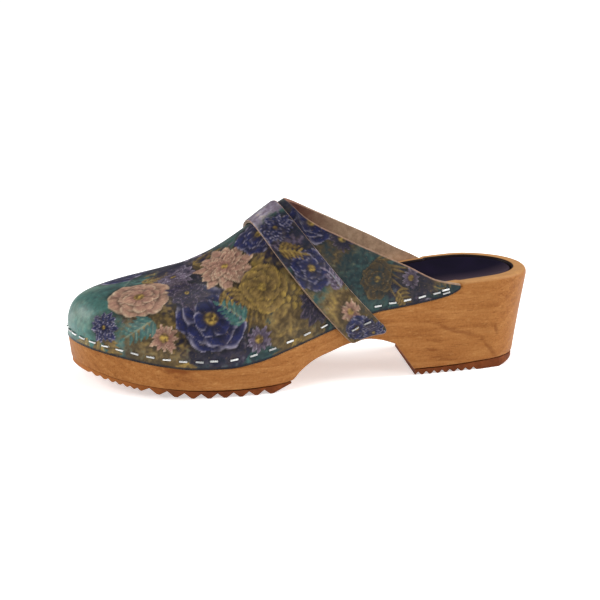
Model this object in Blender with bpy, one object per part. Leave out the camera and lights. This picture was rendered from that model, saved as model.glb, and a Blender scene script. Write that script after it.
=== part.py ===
"""Left open-back clog: a carved wood sole with rubber treads, a stapled leather upper,
an instep strap and an insole.

The model is worked out in millimetres and MM turns it into Blender's metres. In the tables x runs
from the heel's back (0) to the toe tip (LENGTH), y to the wearer's left, the outer side of this
shoe, and z up from the floor. The finished shoe is centred on the origin, with +X towards the toe.
"""

import math
from collections import namedtuple

import bmesh
import bpy
import numpy as np

MM = 0.001

# Driving sizes of the shoe
LENGTH = 260.0
HEEL_ROUND = 34.0       # length over which the heel rounds off in plan
HEEL_POWER = 2.1
TOE_ROUND = 62.0        # length over which the toe rounds off in plan
TOE_POWER = 2.25
GAP = 0.3               # clearance between pieces that touch

# Wood sole
BREAST_FOOT = 76.5      # x of the heel breast at its lower and upper edge
BREAST_TOP = 88.0
BREAST_SKEW = 12.0      # how much further back the breast lies on the inner side
SKEW_BACK = 45.0        # the skew fades out towards these x
SKEW_FRONT = 130.0
ARCH_FRONT = 150.5      # x where the arch starts behind the ball
SIDE_TAPER = 1.6        # how far the sides and the heel's back draw in towards the floor
BACK_TAPER = 8.5
LOWER_EDGE = 1.6        # rounding of the lower and the rim edges
RIM_EDGE = 1.3
RIM_WIDTH = 5.2         # from the side wall in to the insole's recess
RECESS = 3.0            # depth of that recess
SPINE_BACK = 34.0       # the fans of the heel and toe turn round the ends of this middle line
SPINE_FRONT = 200.0

# Upper
LEATHER = 2.0
PROUD = 0.5             # the leather stands this far out of the wood below it
RABBET = LEATHER + GAP - PROUD
RABBET_END = 48.5       # x where the leather's seat starts at the heel, and where it is full depth
RABBET_FULL = 50.5
PEAK = 141.5            # x of the top of the collar
FAN_BACK = 192.0        # from here forward the sections turn round the toe
RIDGE_FRONT = 227.0     # x where the middle line of the vamp ends

# Strap
STRAP_THICKNESS = 2.0
STRAP_LIFT = 0.45       # clearance over the upper
STRAP_TOP_FRONT = 160.0  # x of the strap's front and rear edge on the ridge
STRAP_TOP_REAR = 145.2
STRAP_LOW_FRONT = 114.5  # and where the edges reach the bottom of the wood
STRAP_LOW_REAR = 83.6
STRAP_SWEEP_FRONT = 1.4  # 1 is straight, more keeps an edge forward for longer on its way down
STRAP_SWEEP_REAR = 1.3
STRAP_END_FRONT = 0.93  # how far down the wood's side each corner of the strap's end lies
STRAP_END_REAR = 0.68

# Insole
INSOLE_THICKNESS = 1.8

# Rubber treads
TREAD_INSET = 0.6       # the rubber's edge inside the wood's lower edge
RIB_PITCH = 9.2
RIB_DEPTH = 2.6
RIB_FLAT = 1.6          # flat width of a rib's tip
BALL_BACK = 162.0       # the ribs' tips stand on the floor between these x
BALL_FRONT = 198.0
TOE_LIFT = 11.2         # height of the tread's underside at the toe tip
TOE_ROLL = 1.75         # how late it rises: 1 is straight, 2 a parabola
BACK_SLOPE = 0.08       # and how steeply it rises behind the ball
REAR_RAMP = 11.0        # length of the plain slope behind the last rib
REAR_EDGE = 0.9         # thickness of the rubber where that slope ends
TOE_RIBS_FROM = 232.0   # forward of this the ribs are fine
TOE_RIB_PITCH = 3.4
TOE_RIB_DEPTH = 1.1
TOE_RIB_FLAT = 0.8
HEEL_RIB_PITCH = 4.6
HEEL_RIB_DEPTH = 1.7
HEEL_RIB_FLAT = 1.2
HEEL_PAD = 36.0         # behind this x the heel tread is flat
HEEL_BEVEL = 24.0       # and behind this one it rises to the back
HEEL_BEVEL_RISE = 3.6

# Staples
STAPLE_LENGTH = 4.8
STAPLE_WIDTH = 1.0
STAPLE_THICKNESS = 0.6
STRAP_STAPLE_HEIGHT = 0.35  # down the wood's side, as a share
STRAP_STAPLES_ACROSS = (0.34, 0.7)  # from the strap's front edge, as shares of its width

Plan = namedtuple("Plan", "x middle half")
PLAN = [
    Plan(0, 0.0, 31.0),
    Plan(30, 0.0, 32.5),
    Plan(60, 0.8, 32.8),
    Plan(90, 2.5, 32.0),
    Plan(115, 3.5, 33.5),
    Plan(140, 3.6, 38.5),
    Plan(165, 2.8, 43.8),
    Plan(185, 1.2, 46.0),
    Plan(205, -1.2, 46.2),
    Plan(225, -4.0, 45.5),
    Plan(245, -7.0, 44.5),
    Plan(260, -9.0, 44.0),
]

# Heights of the wood's underside: the heel, then the arch and the forefoot
Height = namedtuple("Height", "x z")
HEEL_BOTTOM = [Height(0, 6.0), Height(26, 5.4), Height(48, 4.0), Height(62, 3.5), Height(BREAST_FOOT, 3.4)]
ARCH_BOTTOM = [
    Height(BREAST_TOP, 18.7),
    Height(97, 21.8),
    Height(105, 23.0),
    Height(113, 22.1),
    Height(127, 18.4),
    Height(137, 15.3),
    Height(146, 9.7),
    Height(ARCH_FRONT, 5.6),
    Height(165, 4.2),
    Height(185, 3.8),
    Height(206, 4.5),
    Height(230, 7.0),
    Height(245, 9.7),
    Height(260, 13.9),
]

# The leather's seat, a ledge round the sole that runs out into the rim at the heel
LEDGE = [
    Height(0, 48.4),
    Height(RABBET_END, 48.4),
    Height(52, 46.3),
    Height(56.5, 44.3),
    Height(63, 42.9),
    Height(83, 40.0),
    Height(100, 38.2),
    Height(127, 31.2),
    Height(153, 23.8),
    Height(171, 18.9),
    Height(190, 16.4),
    Height(206, 16.6),
    Height(222, 18.2),
    Height(245, 22.1),
    Height(260, 24.6),
]

Rim = namedtuple("Rim", "x z dish")     # dish: depth of the footbed's hollow
RIM = [
    Rim(0, 52.3, 2.0),
    Rim(25, 52.2, 4.0),
    Rim(50, 51.2, 4.0),
    Rim(83, 47.4, 3.5),
    Rim(105, 43.4, 3.0),
    Rim(127, 38.8, 2.5),
    Rim(153, 31.6, 2.0),
    Rim(171, 27.1, 2.0),
    Rim(190, 25.1, 2.0),
    Rim(206, 25.4, 1.8),
    Rim(222, 26.7, 1.5),
    Rim(245, 30.5, 1.0),
    Rim(260, 32.6, 1.0),
]

# Sections of the upper. Behind PEAK the ridge is where the section would close if it went on.
# sway: the ridge's place to the left of the middle. power: 2 is an ellipse, more is boxier.
# roof: how much the section's top falls away from the ridge.
Section = namedtuple("Section", "x ridge sway power roof")
SECTIONS = [
    Section(45, 130.0, -1.0, 2.2, 0.0),
    Section(80, 121.8, -2.0, 2.2, 0.0),
    Section(110, 111.0, -3.0, 2.2, 0.02),
    Section(PEAK, 96.3, -4.0, 2.1, 0.08),
    Section(165, 79.9, -4.0, 2.1, 0.1),
    Section(179, 71.0, -4.0, 2.15, 0.1),
    Section(192, 64.8, -3.5, 2.25, 0.08),
    Section(210, 57.7, -3.0, 2.6, 0.08),
    Section(230, 53.2, -2.0, 3.2, 0.1),
    Section(260, 52.6, 0.0, 3.65, 0.12),
]

# Height of the collar's edge on the outer and the inner side
Collar = namedtuple("Collar", "x outer inner")
COLLAR = [
    Collar(RABBET_FULL, 50.2, 50.6),
    Collar(55, 51.2, 53.0),
    Collar(64, 53.5, 57.3),
    Collar(71, 56.8, 61.1),
    Collar(80, 61.8, 66.0),
    Collar(97, 70.0, 74.4),
    Collar(118, 80.3, 84.7),
    Collar(137, 90.8, 94.3),
    Collar(PEAK, 96.3, 96.3),
]


# Runs of staples along the leather's edge on each side. start and end: distance from the wing's end.
# rise: from the leather's edge up to the staple's middle.
StapleRun = namedtuple("StapleRun", "start end count rise")
STAPLE_RUNS = [
    StapleRun(9.3, 9.3, 1, 2.0),
    StapleRun(9.3, 9.3, 1, 3.8),
    StapleRun(14.8, 50.0, 5, 3.4),
    StapleRun(84.0, 150.2, 7, 4.5),
    StapleRun(158.0, 237.0, 10, 4.2),
]


# Curves through the tables


def through(rows, column):
    """A smooth function of x through one column of a table, with no overshoot between its rows."""
    xs = np.array([row.x for row in rows], float)
    ys = np.array([getattr(row, column) for row in rows], float)
    step = np.diff(xs)
    slope = np.diff(ys) / step
    tangent = np.zeros(len(xs))
    tangent[0], tangent[-1] = slope[0], slope[-1]
    for i in range(1, len(slope)):
        if slope[i - 1] * slope[i] > 0:
            near, far = 2 * step[i] + step[i - 1], step[i] + 2 * step[i - 1]
            tangent[i] = (near + far) / (near / slope[i - 1] + far / slope[i])

    def value(x):
        x = np.clip(np.asarray(x, float), xs[0], xs[-1])
        k = np.clip(np.searchsorted(xs, x) - 1, 0, len(step) - 1)
        t = (x - xs[k]) / step[k]
        start = (1 + 2 * t) * (1 - t) ** 2 * ys[k] + t * (1 - t) ** 2 * step[k] * tangent[k]
        end = t * t * (3 - 2 * t) * ys[k + 1] - t * t * (1 - t) * step[k] * tangent[k + 1]
        return start + end

    return value


middle = through(PLAN, "middle")
half_width = through(PLAN, "half")
heel_bottom = through(HEEL_BOTTOM, "z")
arch_bottom = through(ARCH_BOTTOM, "z")
ledge = through(LEDGE, "z")
rim = through(RIM, "z")
dish = through(RIM, "dish")
ridge_height = through(SECTIONS, "ridge")
ridge_sway = through(SECTIONS, "sway")
section_power = through(SECTIONS, "power")
section_roof = through(SECTIONS, "roof")
collar_outer = through(COLLAR, "outer")
collar_inner = through(COLLAR, "inner")

OUTER, INNER = 1, -1    # sides of the shoe: this is a left one, so its outer side is at +Y


def bottom(x):
    """Height of the wood's underside."""
    breast = np.interp(x, [BREAST_FOOT, BREAST_TOP], [HEEL_BOTTOM[-1].z, ARCH_BOTTOM[0].z])
    return np.where(x <= BREAST_FOOT, heel_bottom(x), np.where(x < BREAST_TOP, breast, arch_bottom(x)))


def skewed(plan):
    """Plan points near the heel breast moved back, more so towards the inner side."""
    x, y = plan[:, 0], plan[:, 1]
    near = np.interp(x, [SKEW_BACK, BREAST_FOOT, BREAST_TOP, SKEW_FRONT], [0, 1, 1, 0])
    across = 0.5 - (y - middle(x)) / (2 * half_width(x))
    return np.column_stack([x - BREAST_SKEW * near * across, y])


def end_rounding(x):
    """Share of the full width that is left where the heel and the toe round off."""
    heel = np.clip((HEEL_ROUND - x) / HEEL_ROUND, 0, 1)
    toe = np.clip((x - LENGTH + TOE_ROUND) / TOE_ROUND, 0, 1)
    return (1 - heel**HEEL_POWER) ** (1 / HEEL_POWER) * (1 - toe**TOE_POWER) ** (1 / TOE_POWER)


def outline(side, x):
    """y of the sole's side at the level of the leather's seat."""
    return middle(x) + side * half_width(x) * end_rounding(x)


def stations(count, crisp=()):
    """x from heel to toe, closer together at both ends, with the nearest ones moved to the crisp places."""
    turn = np.linspace(0, math.pi, count + 1)
    xs = LENGTH * (1 - np.cos(turn)) / 2
    for place in crisp:
        xs[np.argmin(np.abs(xs - place))] = place
    return xs


class Loop:
    """The plan outline as one closed run of points: outer side from heel to toe, then the inner side back."""

    def __init__(self, xs):
        self.x = np.concatenate([xs, xs[-2:0:-1]])
        self.side = np.concatenate([np.full(len(xs), OUTER), np.full(len(xs) - 2, INNER)])
        self.points = np.stack([self.x, outline(self.side, self.x)], 1)
        along = np.roll(self.points, -1, 0) - np.roll(self.points, 1, 0)
        along /= np.linalg.norm(along, axis=1)[:, None]
        self.inward = np.stack([along[:, 1], -along[:, 0]], 1)
        self.spine_x = np.clip(self.x, SPINE_BACK, SPINE_FRONT)
        self.spine = np.stack([self.spine_x, middle(self.spine_x)], 1)

    def inset(self, distance):
        """Plan points moved inwards by a distance, which may differ from point to point."""
        return self.points + self.inward * np.reshape(distance, (-1, 1))

    def towards_spine(self, plan, share):
        return plan + (self.spine - plan) * share

    def taper(self):
        """How far the foot of the side wall is drawn in: most at the heel's back."""
        back = np.clip(self.inward[:, 0], 0, 1) ** 2 * (self.x < HEEL_ROUND)
        return SIDE_TAPER + (BACK_TAPER - SIDE_TAPER) * back

    def rabbet(self):
        return np.interp(self.x, [RABBET_END, RABBET_FULL], [0, RABBET])


def at_height(plan, height):
    """Plan points lifted to a height, which is a function of x or one number for each point."""
    z = height(plan[:, 0]) if callable(height) else np.broadcast_to(height, len(plan))
    return np.column_stack([plan, z])


def footbed(x, share):
    """Height of the recess's floor: share is 0 at its edge and 1 on the middle line."""
    return rim(x) - RECESS - dish(x) * (1 - (1 - share) ** 2)


# Meshes


def new_object(name, mesh_maker, material, parent):
    bm = bmesh.new()
    mesh_maker(bm)
    bmesh.ops.scale(bm, vec=(MM, MM, MM), verts=bm.verts)
    bmesh.ops.recalc_face_normals(bm, faces=bm.faces)
    mesh = bpy.data.meshes.new(name)
    bm.to_mesh(mesh)
    bm.free()
    mesh.materials.append(material)
    mesh.shade_smooth()
    mesh.set_sharp_from_angle(angle=math.radians(35))
    obj = bpy.data.objects.new(name, mesh)
    bpy.context.scene.collection.objects.link(obj)
    obj.parent = parent
    return obj


def merge_points(bm):
    bmesh.ops.remove_doubles(bm, verts=bm.verts, dist=1e-4)


def stack_rings(bm, rings):
    """A closed body through rings of equal length. The first and the last lie on the spine and close it."""
    rows = [[bm.verts.new(point) for point in ring] for ring in rings]
    for low, high in zip(rows, rows[1:]):
        for i in range(len(low)):
            j = (i + 1) % len(low)
            bm.faces.new((low[i], low[j], high[j], high[i]))
    merge_points(bm)


def sheet_faces(bm, grid):
    """Quads over a grid of points. Points that coincide are merged, which closes a seam."""
    rows = [[bm.verts.new(point) for point in row] for row in grid]
    for first, second in zip(rows, rows[1:]):
        for j in range(len(first) - 1):
            bm.faces.new((first[j], first[j + 1], second[j + 1], second[j]))
    merge_points(bm)


def thicken(bm, thickness, lift=0.0, lowest=None):
    """Turns an open sheet into a wall: its skin moves out along the normals by lift, and a second skin
    lies at the thickness from it, outwards where that is positive and nowhere under the lowest height."""
    bmesh.ops.recalc_face_normals(bm, faces=bm.faces)
    bm.normal_update()
    middle_of_all = sum((v.co for v in bm.verts), start=bm.verts[:][0].co * 0) / len(bm.verts)
    if sum(v.normal.dot(v.co - middle_of_all) for v in bm.verts) < 0:
        bmesh.ops.reverse_faces(bm, faces=bm.faces)
    bm.normal_update()
    first = list(bm.verts)
    normals = [v.normal.copy() for v in first]
    faces = [[v.index for v in face.verts] for face in bm.faces]
    borders = [[v.index for v in edge.verts] for edge in bm.edges if edge.is_boundary]
    for v, normal in zip(first, normals):
        v.co += normal * lift
    second = [bm.verts.new(v.co + normal * thickness) for v, normal in zip(first, normals)]
    if lowest:
        for v in second:
            v.co.z = max(v.co.z, lowest(v.co.x))
    for face in faces:
        bm.faces.new([second[i] for i in reversed(face)])
    for i, j in borders:
        bm.faces.new((first[i], first[j], second[j], second[i]))


# The wood sole


def wood_sole(bm):
    loop = Loop(stations(58, (RABBET_END, RABBET_FULL, BREAST_FOOT, BREAST_TOP, ARCH_FRONT)))
    taper = loop.taper()
    rabbet = loop.rabbet()
    under = loop.inset(taper + LOWER_EDGE)
    foot_of_side = loop.inset(taper)
    seat_outer = loop.inset(0)
    seat_inner = loop.inset(rabbet)
    rim_outer = loop.inset(rabbet + RIM_EDGE / 2)
    rim_top = loop.inset(rabbet + 2 * RIM_EDGE)
    rim_inner = loop.inset(rabbet + RIM_WIDTH)
    recess = loop.inset(rabbet + RIM_WIDTH + RIM_EDGE / 2)
    rings = []
    for share in (1, 0.5, 0):
        plan = loop.towards_spine(under, share)
        rings.append(at_height(skewed(plan), bottom(plan[:, 0])))
    rings += [
        at_height(skewed(foot_of_side), bottom(under[:, 0]) + LOWER_EDGE),
        at_height(seat_outer, ledge(loop.x)),
        at_height(seat_inner, ledge(loop.x)),
        at_height(rim_outer, rim(loop.x) - RIM_EDGE),
        at_height(rim_top, rim),
        at_height(rim_inner, rim),
        at_height(recess, footbed(recess[:, 0], 0)),
    ]
    for share in (0.3, 0.65, 1):
        plan = loop.towards_spine(recess, share)
        rings.append(at_height(plan, footbed(plan[:, 0], share)))
    stack_rings(bm, rings)


def insole(bm):
    loop = Loop(stations(44))
    edge = loop.inset(loop.rabbet() + RIM_WIDTH + RIM_EDGE + GAP)
    layers = []
    for lift in (GAP, GAP + INSOLE_THICKNESS):
        rings = []
        for share in (1, 0.65, 0.3, 0):
            plan = loop.towards_spine(edge, share)
            rings.append(at_height(plan, footbed(plan[:, 0], share) + lift))
        layers.append(rings)
    stack_rings(bm, layers[0] + layers[1][::-1])


# Rubber treads


def lower_footprint(xs):
    """y of the rubber's edge on the outer and the inner side, for each x."""
    loop = Loop(stations(240))
    plan = loop.inset(loop.taper() + TREAD_INSET)
    found = []
    for side in (OUTER, INNER):
        own = plan[loop.side == side] if side == OUTER else np.vstack([plan[:1], plan[loop.side == side][::-1]])
        found.append(np.interp(xs, own[:, 0], own[:, 1]))
    return found


def footprint_ends():
    loop = Loop(stations(240))
    plan = loop.inset(loop.taper() + TREAD_INSET)
    return plan[:, 0].min(), plan[:, 0].max()


def ribbed(start, end, pitch, flat, depth):
    """(x, cut) pairs of cross ribs from start to end: cut is 0 on a rib's flat tip and the depth in a groove."""
    count = max(1, round((end - start) / pitch))
    step = (end - start) / count
    rows = []
    for i in range(count):
        tip = start + i * step
        rows += [(tip, 0.0), (tip + flat, 0.0), (tip + (step + flat) / 2, depth)]
    return rows + [(end, 0.0)]


def slab(bm, rows):
    """A body from cross sections. Each row is x, outer y, inner y, top z and bottom z."""
    sections = []
    for x, outer, inner, top, low in rows:
        plan = skewed(np.array([(x, outer), (x, inner), (x, inner), (x, outer)]))
        sections.append([bm.verts.new(point) for point in at_height(plan, (top, top, low, low))])
    for first, second in zip(sections, sections[1:]):
        for i in range(4):
            j = (i + 1) % 4
            bm.faces.new((first[i], first[j], second[j], second[i]))
    bm.faces.new(sections[0])
    bm.faces.new(sections[-1][::-1])
    merge_points(bm)


def rounded_end(start, end, count):
    """x from start, where an outline rounds off, to end, closer together at the start."""
    turn = np.linspace(0, math.pi / 2, count + 1)
    return start + (end - start) * (1 - np.cos(turn))


def forefoot_tread_underside(x):
    """Height of the ribs' tips: flat under the ball, up at the toe, and a little up behind."""
    forward = np.clip((x - BALL_FRONT) / (LENGTH - BALL_FRONT), 0, 1)
    return TOE_LIFT * forward**TOE_ROLL + BACK_SLOPE * np.clip(BALL_BACK - x, 0, None)


def forefoot_tread(bm):
    tip = footprint_ends()[1] - 0.02
    rear = ARCH_FRONT + 0.5
    cuts = [(rear, bottom(rear) - GAP - REAR_EDGE - forefoot_tread_underside(rear))]
    cuts += ribbed(rear + REAR_RAMP, TOE_RIBS_FROM, RIB_PITCH, RIB_FLAT, RIB_DEPTH)[:-1]
    cuts += ribbed(TOE_RIBS_FROM, tip - 3, TOE_RIB_PITCH, TOE_RIB_FLAT, TOE_RIB_DEPTH)
    cuts += [(tip - 1.2, 0.0), (tip - 0.3, 0.0), (tip, 0.0)]
    xs = np.array([x for x, cut in cuts])
    outer, inner = lower_footprint(xs)
    top = bottom(xs) - GAP
    low = np.minimum(forefoot_tread_underside(xs) + [cut for x, cut in cuts], top - 0.8)
    slab(bm, zip(xs, outer, inner, top, low))


def heel_tread(bm):
    back = footprint_ends()[0] + 0.02
    plain = [(x, 0.0) for x in rounded_end(back, HEEL_BEVEL, 9)] + [(HEEL_PAD, 0.0)]
    cuts = plain + ribbed(HEEL_PAD + HEEL_RIB_FLAT, BREAST_FOOT - 0.6, HEEL_RIB_PITCH, HEEL_RIB_FLAT, HEEL_RIB_DEPTH)
    xs = np.array([x for x, cut in cuts])
    outer, inner = lower_footprint(xs)
    bevel = HEEL_BEVEL_RISE * np.clip((HEEL_BEVEL - xs) / (HEEL_BEVEL - back), 0, 1)
    slab(bm, zip(xs, outer, inner, bottom(xs) - GAP, bevel + [cut for x, cut in cuts]))


# The upper


def ridge_point(x):
    """The point of the vamp's middle line that the section from outline station x runs up to."""
    front = np.interp(x, [FAN_BACK, LENGTH], [FAN_BACK, RIDGE_FRONT])
    along = np.where(x > FAN_BACK, front, x)
    return np.array([along, middle(along) + ridge_sway(along), ridge_height(along)])


def collar_height(side, x):
    return collar_outer(x) if side == OUTER else collar_inner(x)


def section(side, x, foot, whole=False):
    """Closely spaced points up the upper's skin from the foot, a point in plan beside station x, to the
    ridge, or to the collar's edge where that is lower and the whole section isn't asked for."""
    turn = np.linspace(0, math.pi / 2, 400)
    power, roof = section_power(x), section_roof(x)
    top = ridge_point(x)
    seat = ledge(x) + GAP
    out, up = np.cos(turn) ** (2 / power), np.sin(turn) ** (2 / power)
    reach = np.hypot(*(foot - top[:2]))
    plan = top[:2] + np.outer(out, foot - top[:2])
    z = seat + (top[2] - roof * reach * out - seat) * up
    points = np.column_stack([plan, z])
    points[-1] = top
    if x >= PEAK or whole:
        return points
    edge = collar_height(side, x)
    last = np.searchsorted(z, edge)
    share = (edge - z[last - 1]) / (z[last] - z[last - 1])
    return np.vstack([points[:last], points[last - 1] + share * (points[last] - points[last - 1])])


def measured(points):
    """Length along a run of points, at each of them."""
    return np.concatenate([[0], np.cumsum(np.linalg.norm(np.diff(points, axis=0), axis=1))])


def along_run(points, distances):
    """Points at the given distances along a run."""
    length = measured(points)
    return np.column_stack([np.interp(distances, length, points[:, k]) for k in range(3)])


def evenly(points, count):
    return along_run(points, np.linspace(0, measured(points)[-1], count))


def upper_stations():
    """(side, x, foot) of each section of the upper, from the outer wing's end round the toe to the inner one's."""
    xs = stations(58, (RABBET_END, RABBET_FULL, BREAST_FOOT, BREAST_TOP, ARCH_FRONT, PEAK))
    loop = Loop(xs)
    feet = loop.inset(-PROUD)
    found = [(s, x, foot) for s, x, foot in zip(loop.side, loop.x, feet) if x >= RABBET_FULL]
    collar = [PEAK - 0.7, PEAK - 2.2]
    for side in (OUTER, INNER):
        for x in collar:
            found.append((side, x, np.array([x, outline(side, x) + side * PROUD])))
    around = {OUTER: lambda x: x, INNER: lambda x: 2 * LENGTH - x}
    return sorted(found, key=lambda row: around[row[0]](row[1]))


def upper(bm):
    sheet_faces(bm, [evenly(section(side, x, foot), 15) for side, x, foot in upper_stations()])
    thicken(bm, -LEATHER, lowest=lambda x: ledge(x) + GAP)


# The strap


def jacket(side, x, height):
    """A point on the outside of the shoe. height is 0 at the leather's lower edge, 1 on the ridge and
    -1 at the bottom of the wood's side."""
    foot = np.array([x, outline(side, x) + side * PROUD])
    if height >= 0:
        run = section(side, x, foot, whole=True)
        return along_run(run, [height * measured(run)[-1]])[0]
    z = ledge(x) + GAP + height * (ledge(x) + GAP - bottom(x))
    y = outline(side, x) + side * np.interp(height, [-0.4, 0], [0, PROUD])
    return np.array([x, y, z])


def strap_edge(side, share, top_x, low_x, sweep, end):
    """The point on the jacket at a share of the way from the strap's low end to the ridge, along one of
    its edges. The edge's x falls with its height, as it sweeps back to the arch."""
    height = -end + (1 + end) * share
    x = low_x + (top_x - low_x) * max(height, 0.0)
    for _ in range(8):
        point = jacket(side, x, height)
        low, top = bottom(max(low_x, BREAST_TOP)), ridge_height(top_x)
        fall = np.clip((top - point[2]) / (top - low), 0, 1)
        x = low_x + (top_x - low_x) * (1 - fall**sweep)
    return x, height


def strap_point(side, share, across):
    """across is 0 on the strap's front edge and 1 on its rear edge."""
    front_x, front_height = strap_edge(
        side, share, STRAP_TOP_FRONT, STRAP_LOW_FRONT, STRAP_SWEEP_FRONT, STRAP_END_FRONT)
    rear_x, rear_height = strap_edge(
        side, share, STRAP_TOP_REAR, STRAP_LOW_REAR, STRAP_SWEEP_REAR, STRAP_END_REAR)
    x = front_x + (rear_x - front_x) * across
    return jacket(side, x, front_height + (rear_height - front_height) * across)


def strap_run(count):
    """(side, share) from the outer end up over the ridge and down to the inner end."""
    rise = np.linspace(0, 1, count)
    return [(OUTER, share) for share in rise] + [(INNER, share) for share in rise[-2::-1]]


def strap(bm):
    widths = np.linspace(0, 1, 5)
    sheet_faces(bm, [[strap_point(side, share, w) for w in widths] for side, share in strap_run(22)])
    thicken(bm, STRAP_THICKNESS, lift=STRAP_LIFT)


# Staples


def bar(bm, centre, along, outward):
    """A staple's crown: a flat bar with its ends bevelled down, at the gap from the surface under it."""
    along = along / np.linalg.norm(along)
    outward = outward / np.linalg.norm(outward)
    across = np.cross(outward, along)
    low, high = [], []
    for end, wide in ((-1, -1), (1, -1), (1, 1), (-1, 1)):
        foot = centre + along * end * STAPLE_LENGTH / 2 + across * wide * STAPLE_WIDTH / 2
        low.append(bm.verts.new(foot + outward * GAP))
        top = foot - along * end * STAPLE_THICKNESS / 2
        high.append(bm.verts.new(top + outward * (GAP + STAPLE_THICKNESS)))
    bm.faces.new(low)
    bm.faces.new(high)
    for i in range(4):
        j = (i + 1) % 4
        bm.faces.new((low[i], low[j], high[j], high[i]))


def edge_staples():
    """(centre, along, outward) of each staple round the upper's lower edge."""
    places = upper_stations()
    runs = [section(side, x, foot) for side, x, foot in places]
    found = []
    for row in STAPLE_RUNS:
        rows_up = (row.rise, row.rise + 1)
        line, above = (np.array([along_run(run, [up])[0] for run in runs]) for up in rows_up)
        length = measured(line)
        for distance in np.linspace(row.start, row.end, row.count):
            for side, place in ((OUTER, distance), (INNER, length[-1] - distance)):
                start, centre, end = along_run(line, [place - 2, place, place + 2])
                up = [np.interp(place, length, above[:, k]) for k in range(3)] - centre
                found.append((centre, end - start, np.cross(up, end - start)))
    return found


def strap_staples():
    """Two staples through each end of the strap."""
    found = []
    skin = STRAP_LIFT + STRAP_THICKNESS
    for side in (OUTER, INNER):
        for across in STRAP_STAPLES_ACROSS:
            share = (STRAP_END_FRONT - STRAP_STAPLE_HEIGHT) / (1 + STRAP_END_FRONT)
            centre = strap_point(side, share, across)
            along = strap_point(side, share, across + 0.1) - strap_point(side, share, across - 0.1)
            up = strap_point(side, share + 0.03, across) - centre
            outward = np.cross(along, up)
            outward *= side * np.sign(outward[1]) / np.linalg.norm(outward)
            found.append((centre + outward * skin, along, outward))
    return found


# Materials and the assembly


def material(name, colour, roughness, metallic=0.0):
    made = bpy.data.materials.new(name)
    made.use_nodes = True
    shader = made.node_tree.nodes["Principled BSDF"]
    shader.inputs["Base Color"].default_value = (*colour, 1)
    shader.inputs["Roughness"].default_value = roughness
    shader.inputs["Metallic"].default_value = metallic
    return made


def centre_on_origin(root, objects):
    """Moves the root so that the shoe's box is centred over the origin, with its lowest point on the floor."""
    corners = np.array([v.co for obj in objects for v in obj.data.vertices])
    low, high = corners.min(0), corners.max(0)
    root.location = (-(low[0] + high[0]) / 2, -(low[1] + high[1]) / 2, -low[2])


def main():
    for obj in list(bpy.data.objects):
        bpy.data.objects.remove(obj)
    root = bpy.data.objects.new("clog", None)
    bpy.context.scene.collection.objects.link(root)
    wood = material("wood", (0.58, 0.31, 0.12), 0.45)
    leather = material("printed leather", (0.16, 0.2, 0.19), 0.5)
    rubber = material("rubber", (0.2, 0.09, 0.05), 0.75)
    lining = material("insole leather", (0.025, 0.018, 0.06), 0.5)
    steel = material("steel", (0.8, 0.8, 0.8), 0.3, 1.0)
    pieces = [
        new_object("wood_sole", wood_sole, wood, root),
        new_object("insole", insole, lining, root),
        new_object("upper", upper, leather, root),
        new_object("strap", strap, leather, root),
        new_object("forefoot_tread", forefoot_tread, rubber, root),
        new_object("heel_tread", heel_tread, rubber, root),
    ]
    named = [("staple", edge_staples()), ("strap_staple", strap_staples())]
    for name, places in named:
        for number, place in enumerate(places):
            make = lambda bm, place=place: bar(bm, *place)
            pieces.append(new_object(f"{name}_{number:02d}", make, steel, root))
    centre_on_origin(root, pieces)


main()
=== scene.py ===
"""Looks of the left open-back clog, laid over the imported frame.

Shapes are worked out in millimetres from the same tables as the solids: x from the heel's back to the
toe, y to the wearer's left, z up from the floor. place() turns them into the frame's metres.
"""

import math
from collections import namedtuple
from functools import partial

import bpy
import numpy as np
from mathutils import Matrix, Vector


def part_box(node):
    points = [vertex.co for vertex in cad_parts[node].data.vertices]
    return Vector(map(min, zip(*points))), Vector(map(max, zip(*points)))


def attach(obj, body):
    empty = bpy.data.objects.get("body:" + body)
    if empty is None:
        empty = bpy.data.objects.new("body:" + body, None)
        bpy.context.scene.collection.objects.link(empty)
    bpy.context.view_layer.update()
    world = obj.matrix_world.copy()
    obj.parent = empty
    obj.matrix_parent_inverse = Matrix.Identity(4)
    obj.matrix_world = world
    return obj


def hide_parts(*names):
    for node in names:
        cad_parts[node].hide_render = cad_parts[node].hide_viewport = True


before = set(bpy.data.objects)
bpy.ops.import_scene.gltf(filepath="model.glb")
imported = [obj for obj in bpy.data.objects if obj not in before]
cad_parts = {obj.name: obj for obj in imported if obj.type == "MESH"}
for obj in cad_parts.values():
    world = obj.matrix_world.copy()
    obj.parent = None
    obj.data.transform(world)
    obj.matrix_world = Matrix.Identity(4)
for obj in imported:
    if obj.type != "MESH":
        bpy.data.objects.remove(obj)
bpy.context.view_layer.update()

MM = 0.001
OUTER, INNER = 1, -1
SIDES = (OUTER, INNER)
CLOSE, TINY = 1e-6, 1e-12

# Sizes shared with the solids
LENGTH = 260.0
HEEL_ROUND, HEEL_POWER = 34.0, 2.1
TOE_ROUND, TOE_POWER = 62.0, 2.25
GAP = 0.3
BREAST_FOOT, BREAST_TOP = 76.5, 88.0
BREAST_SKEW, SKEW_BACK, SKEW_FRONT = 12.0, 45.0, 130.0
ARCH_FRONT = 150.5
SIDE_TAPER, BACK_TAPER = 1.6, 8.5
LOWER_EDGE, RIM_EDGE = 1.6, 1.3
RIM_WIDTH, RECESS = 5.2, 3.0
SPINE_BACK, SPINE_FRONT = 34.0, 200.0
LEATHER, PROUD = 2.0, 0.5
PROUD_FADE = -0.4       # height on the wood's side at which the strap lies against it
RABBET = LEATHER + GAP - PROUD
RABBET_END, RABBET_FULL = 48.5, 50.5
PEAK = 141.5
FAN_BACK, RIDGE_FRONT = 192.0, 227.0
INSOLE_THICKNESS = 1.8
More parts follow.
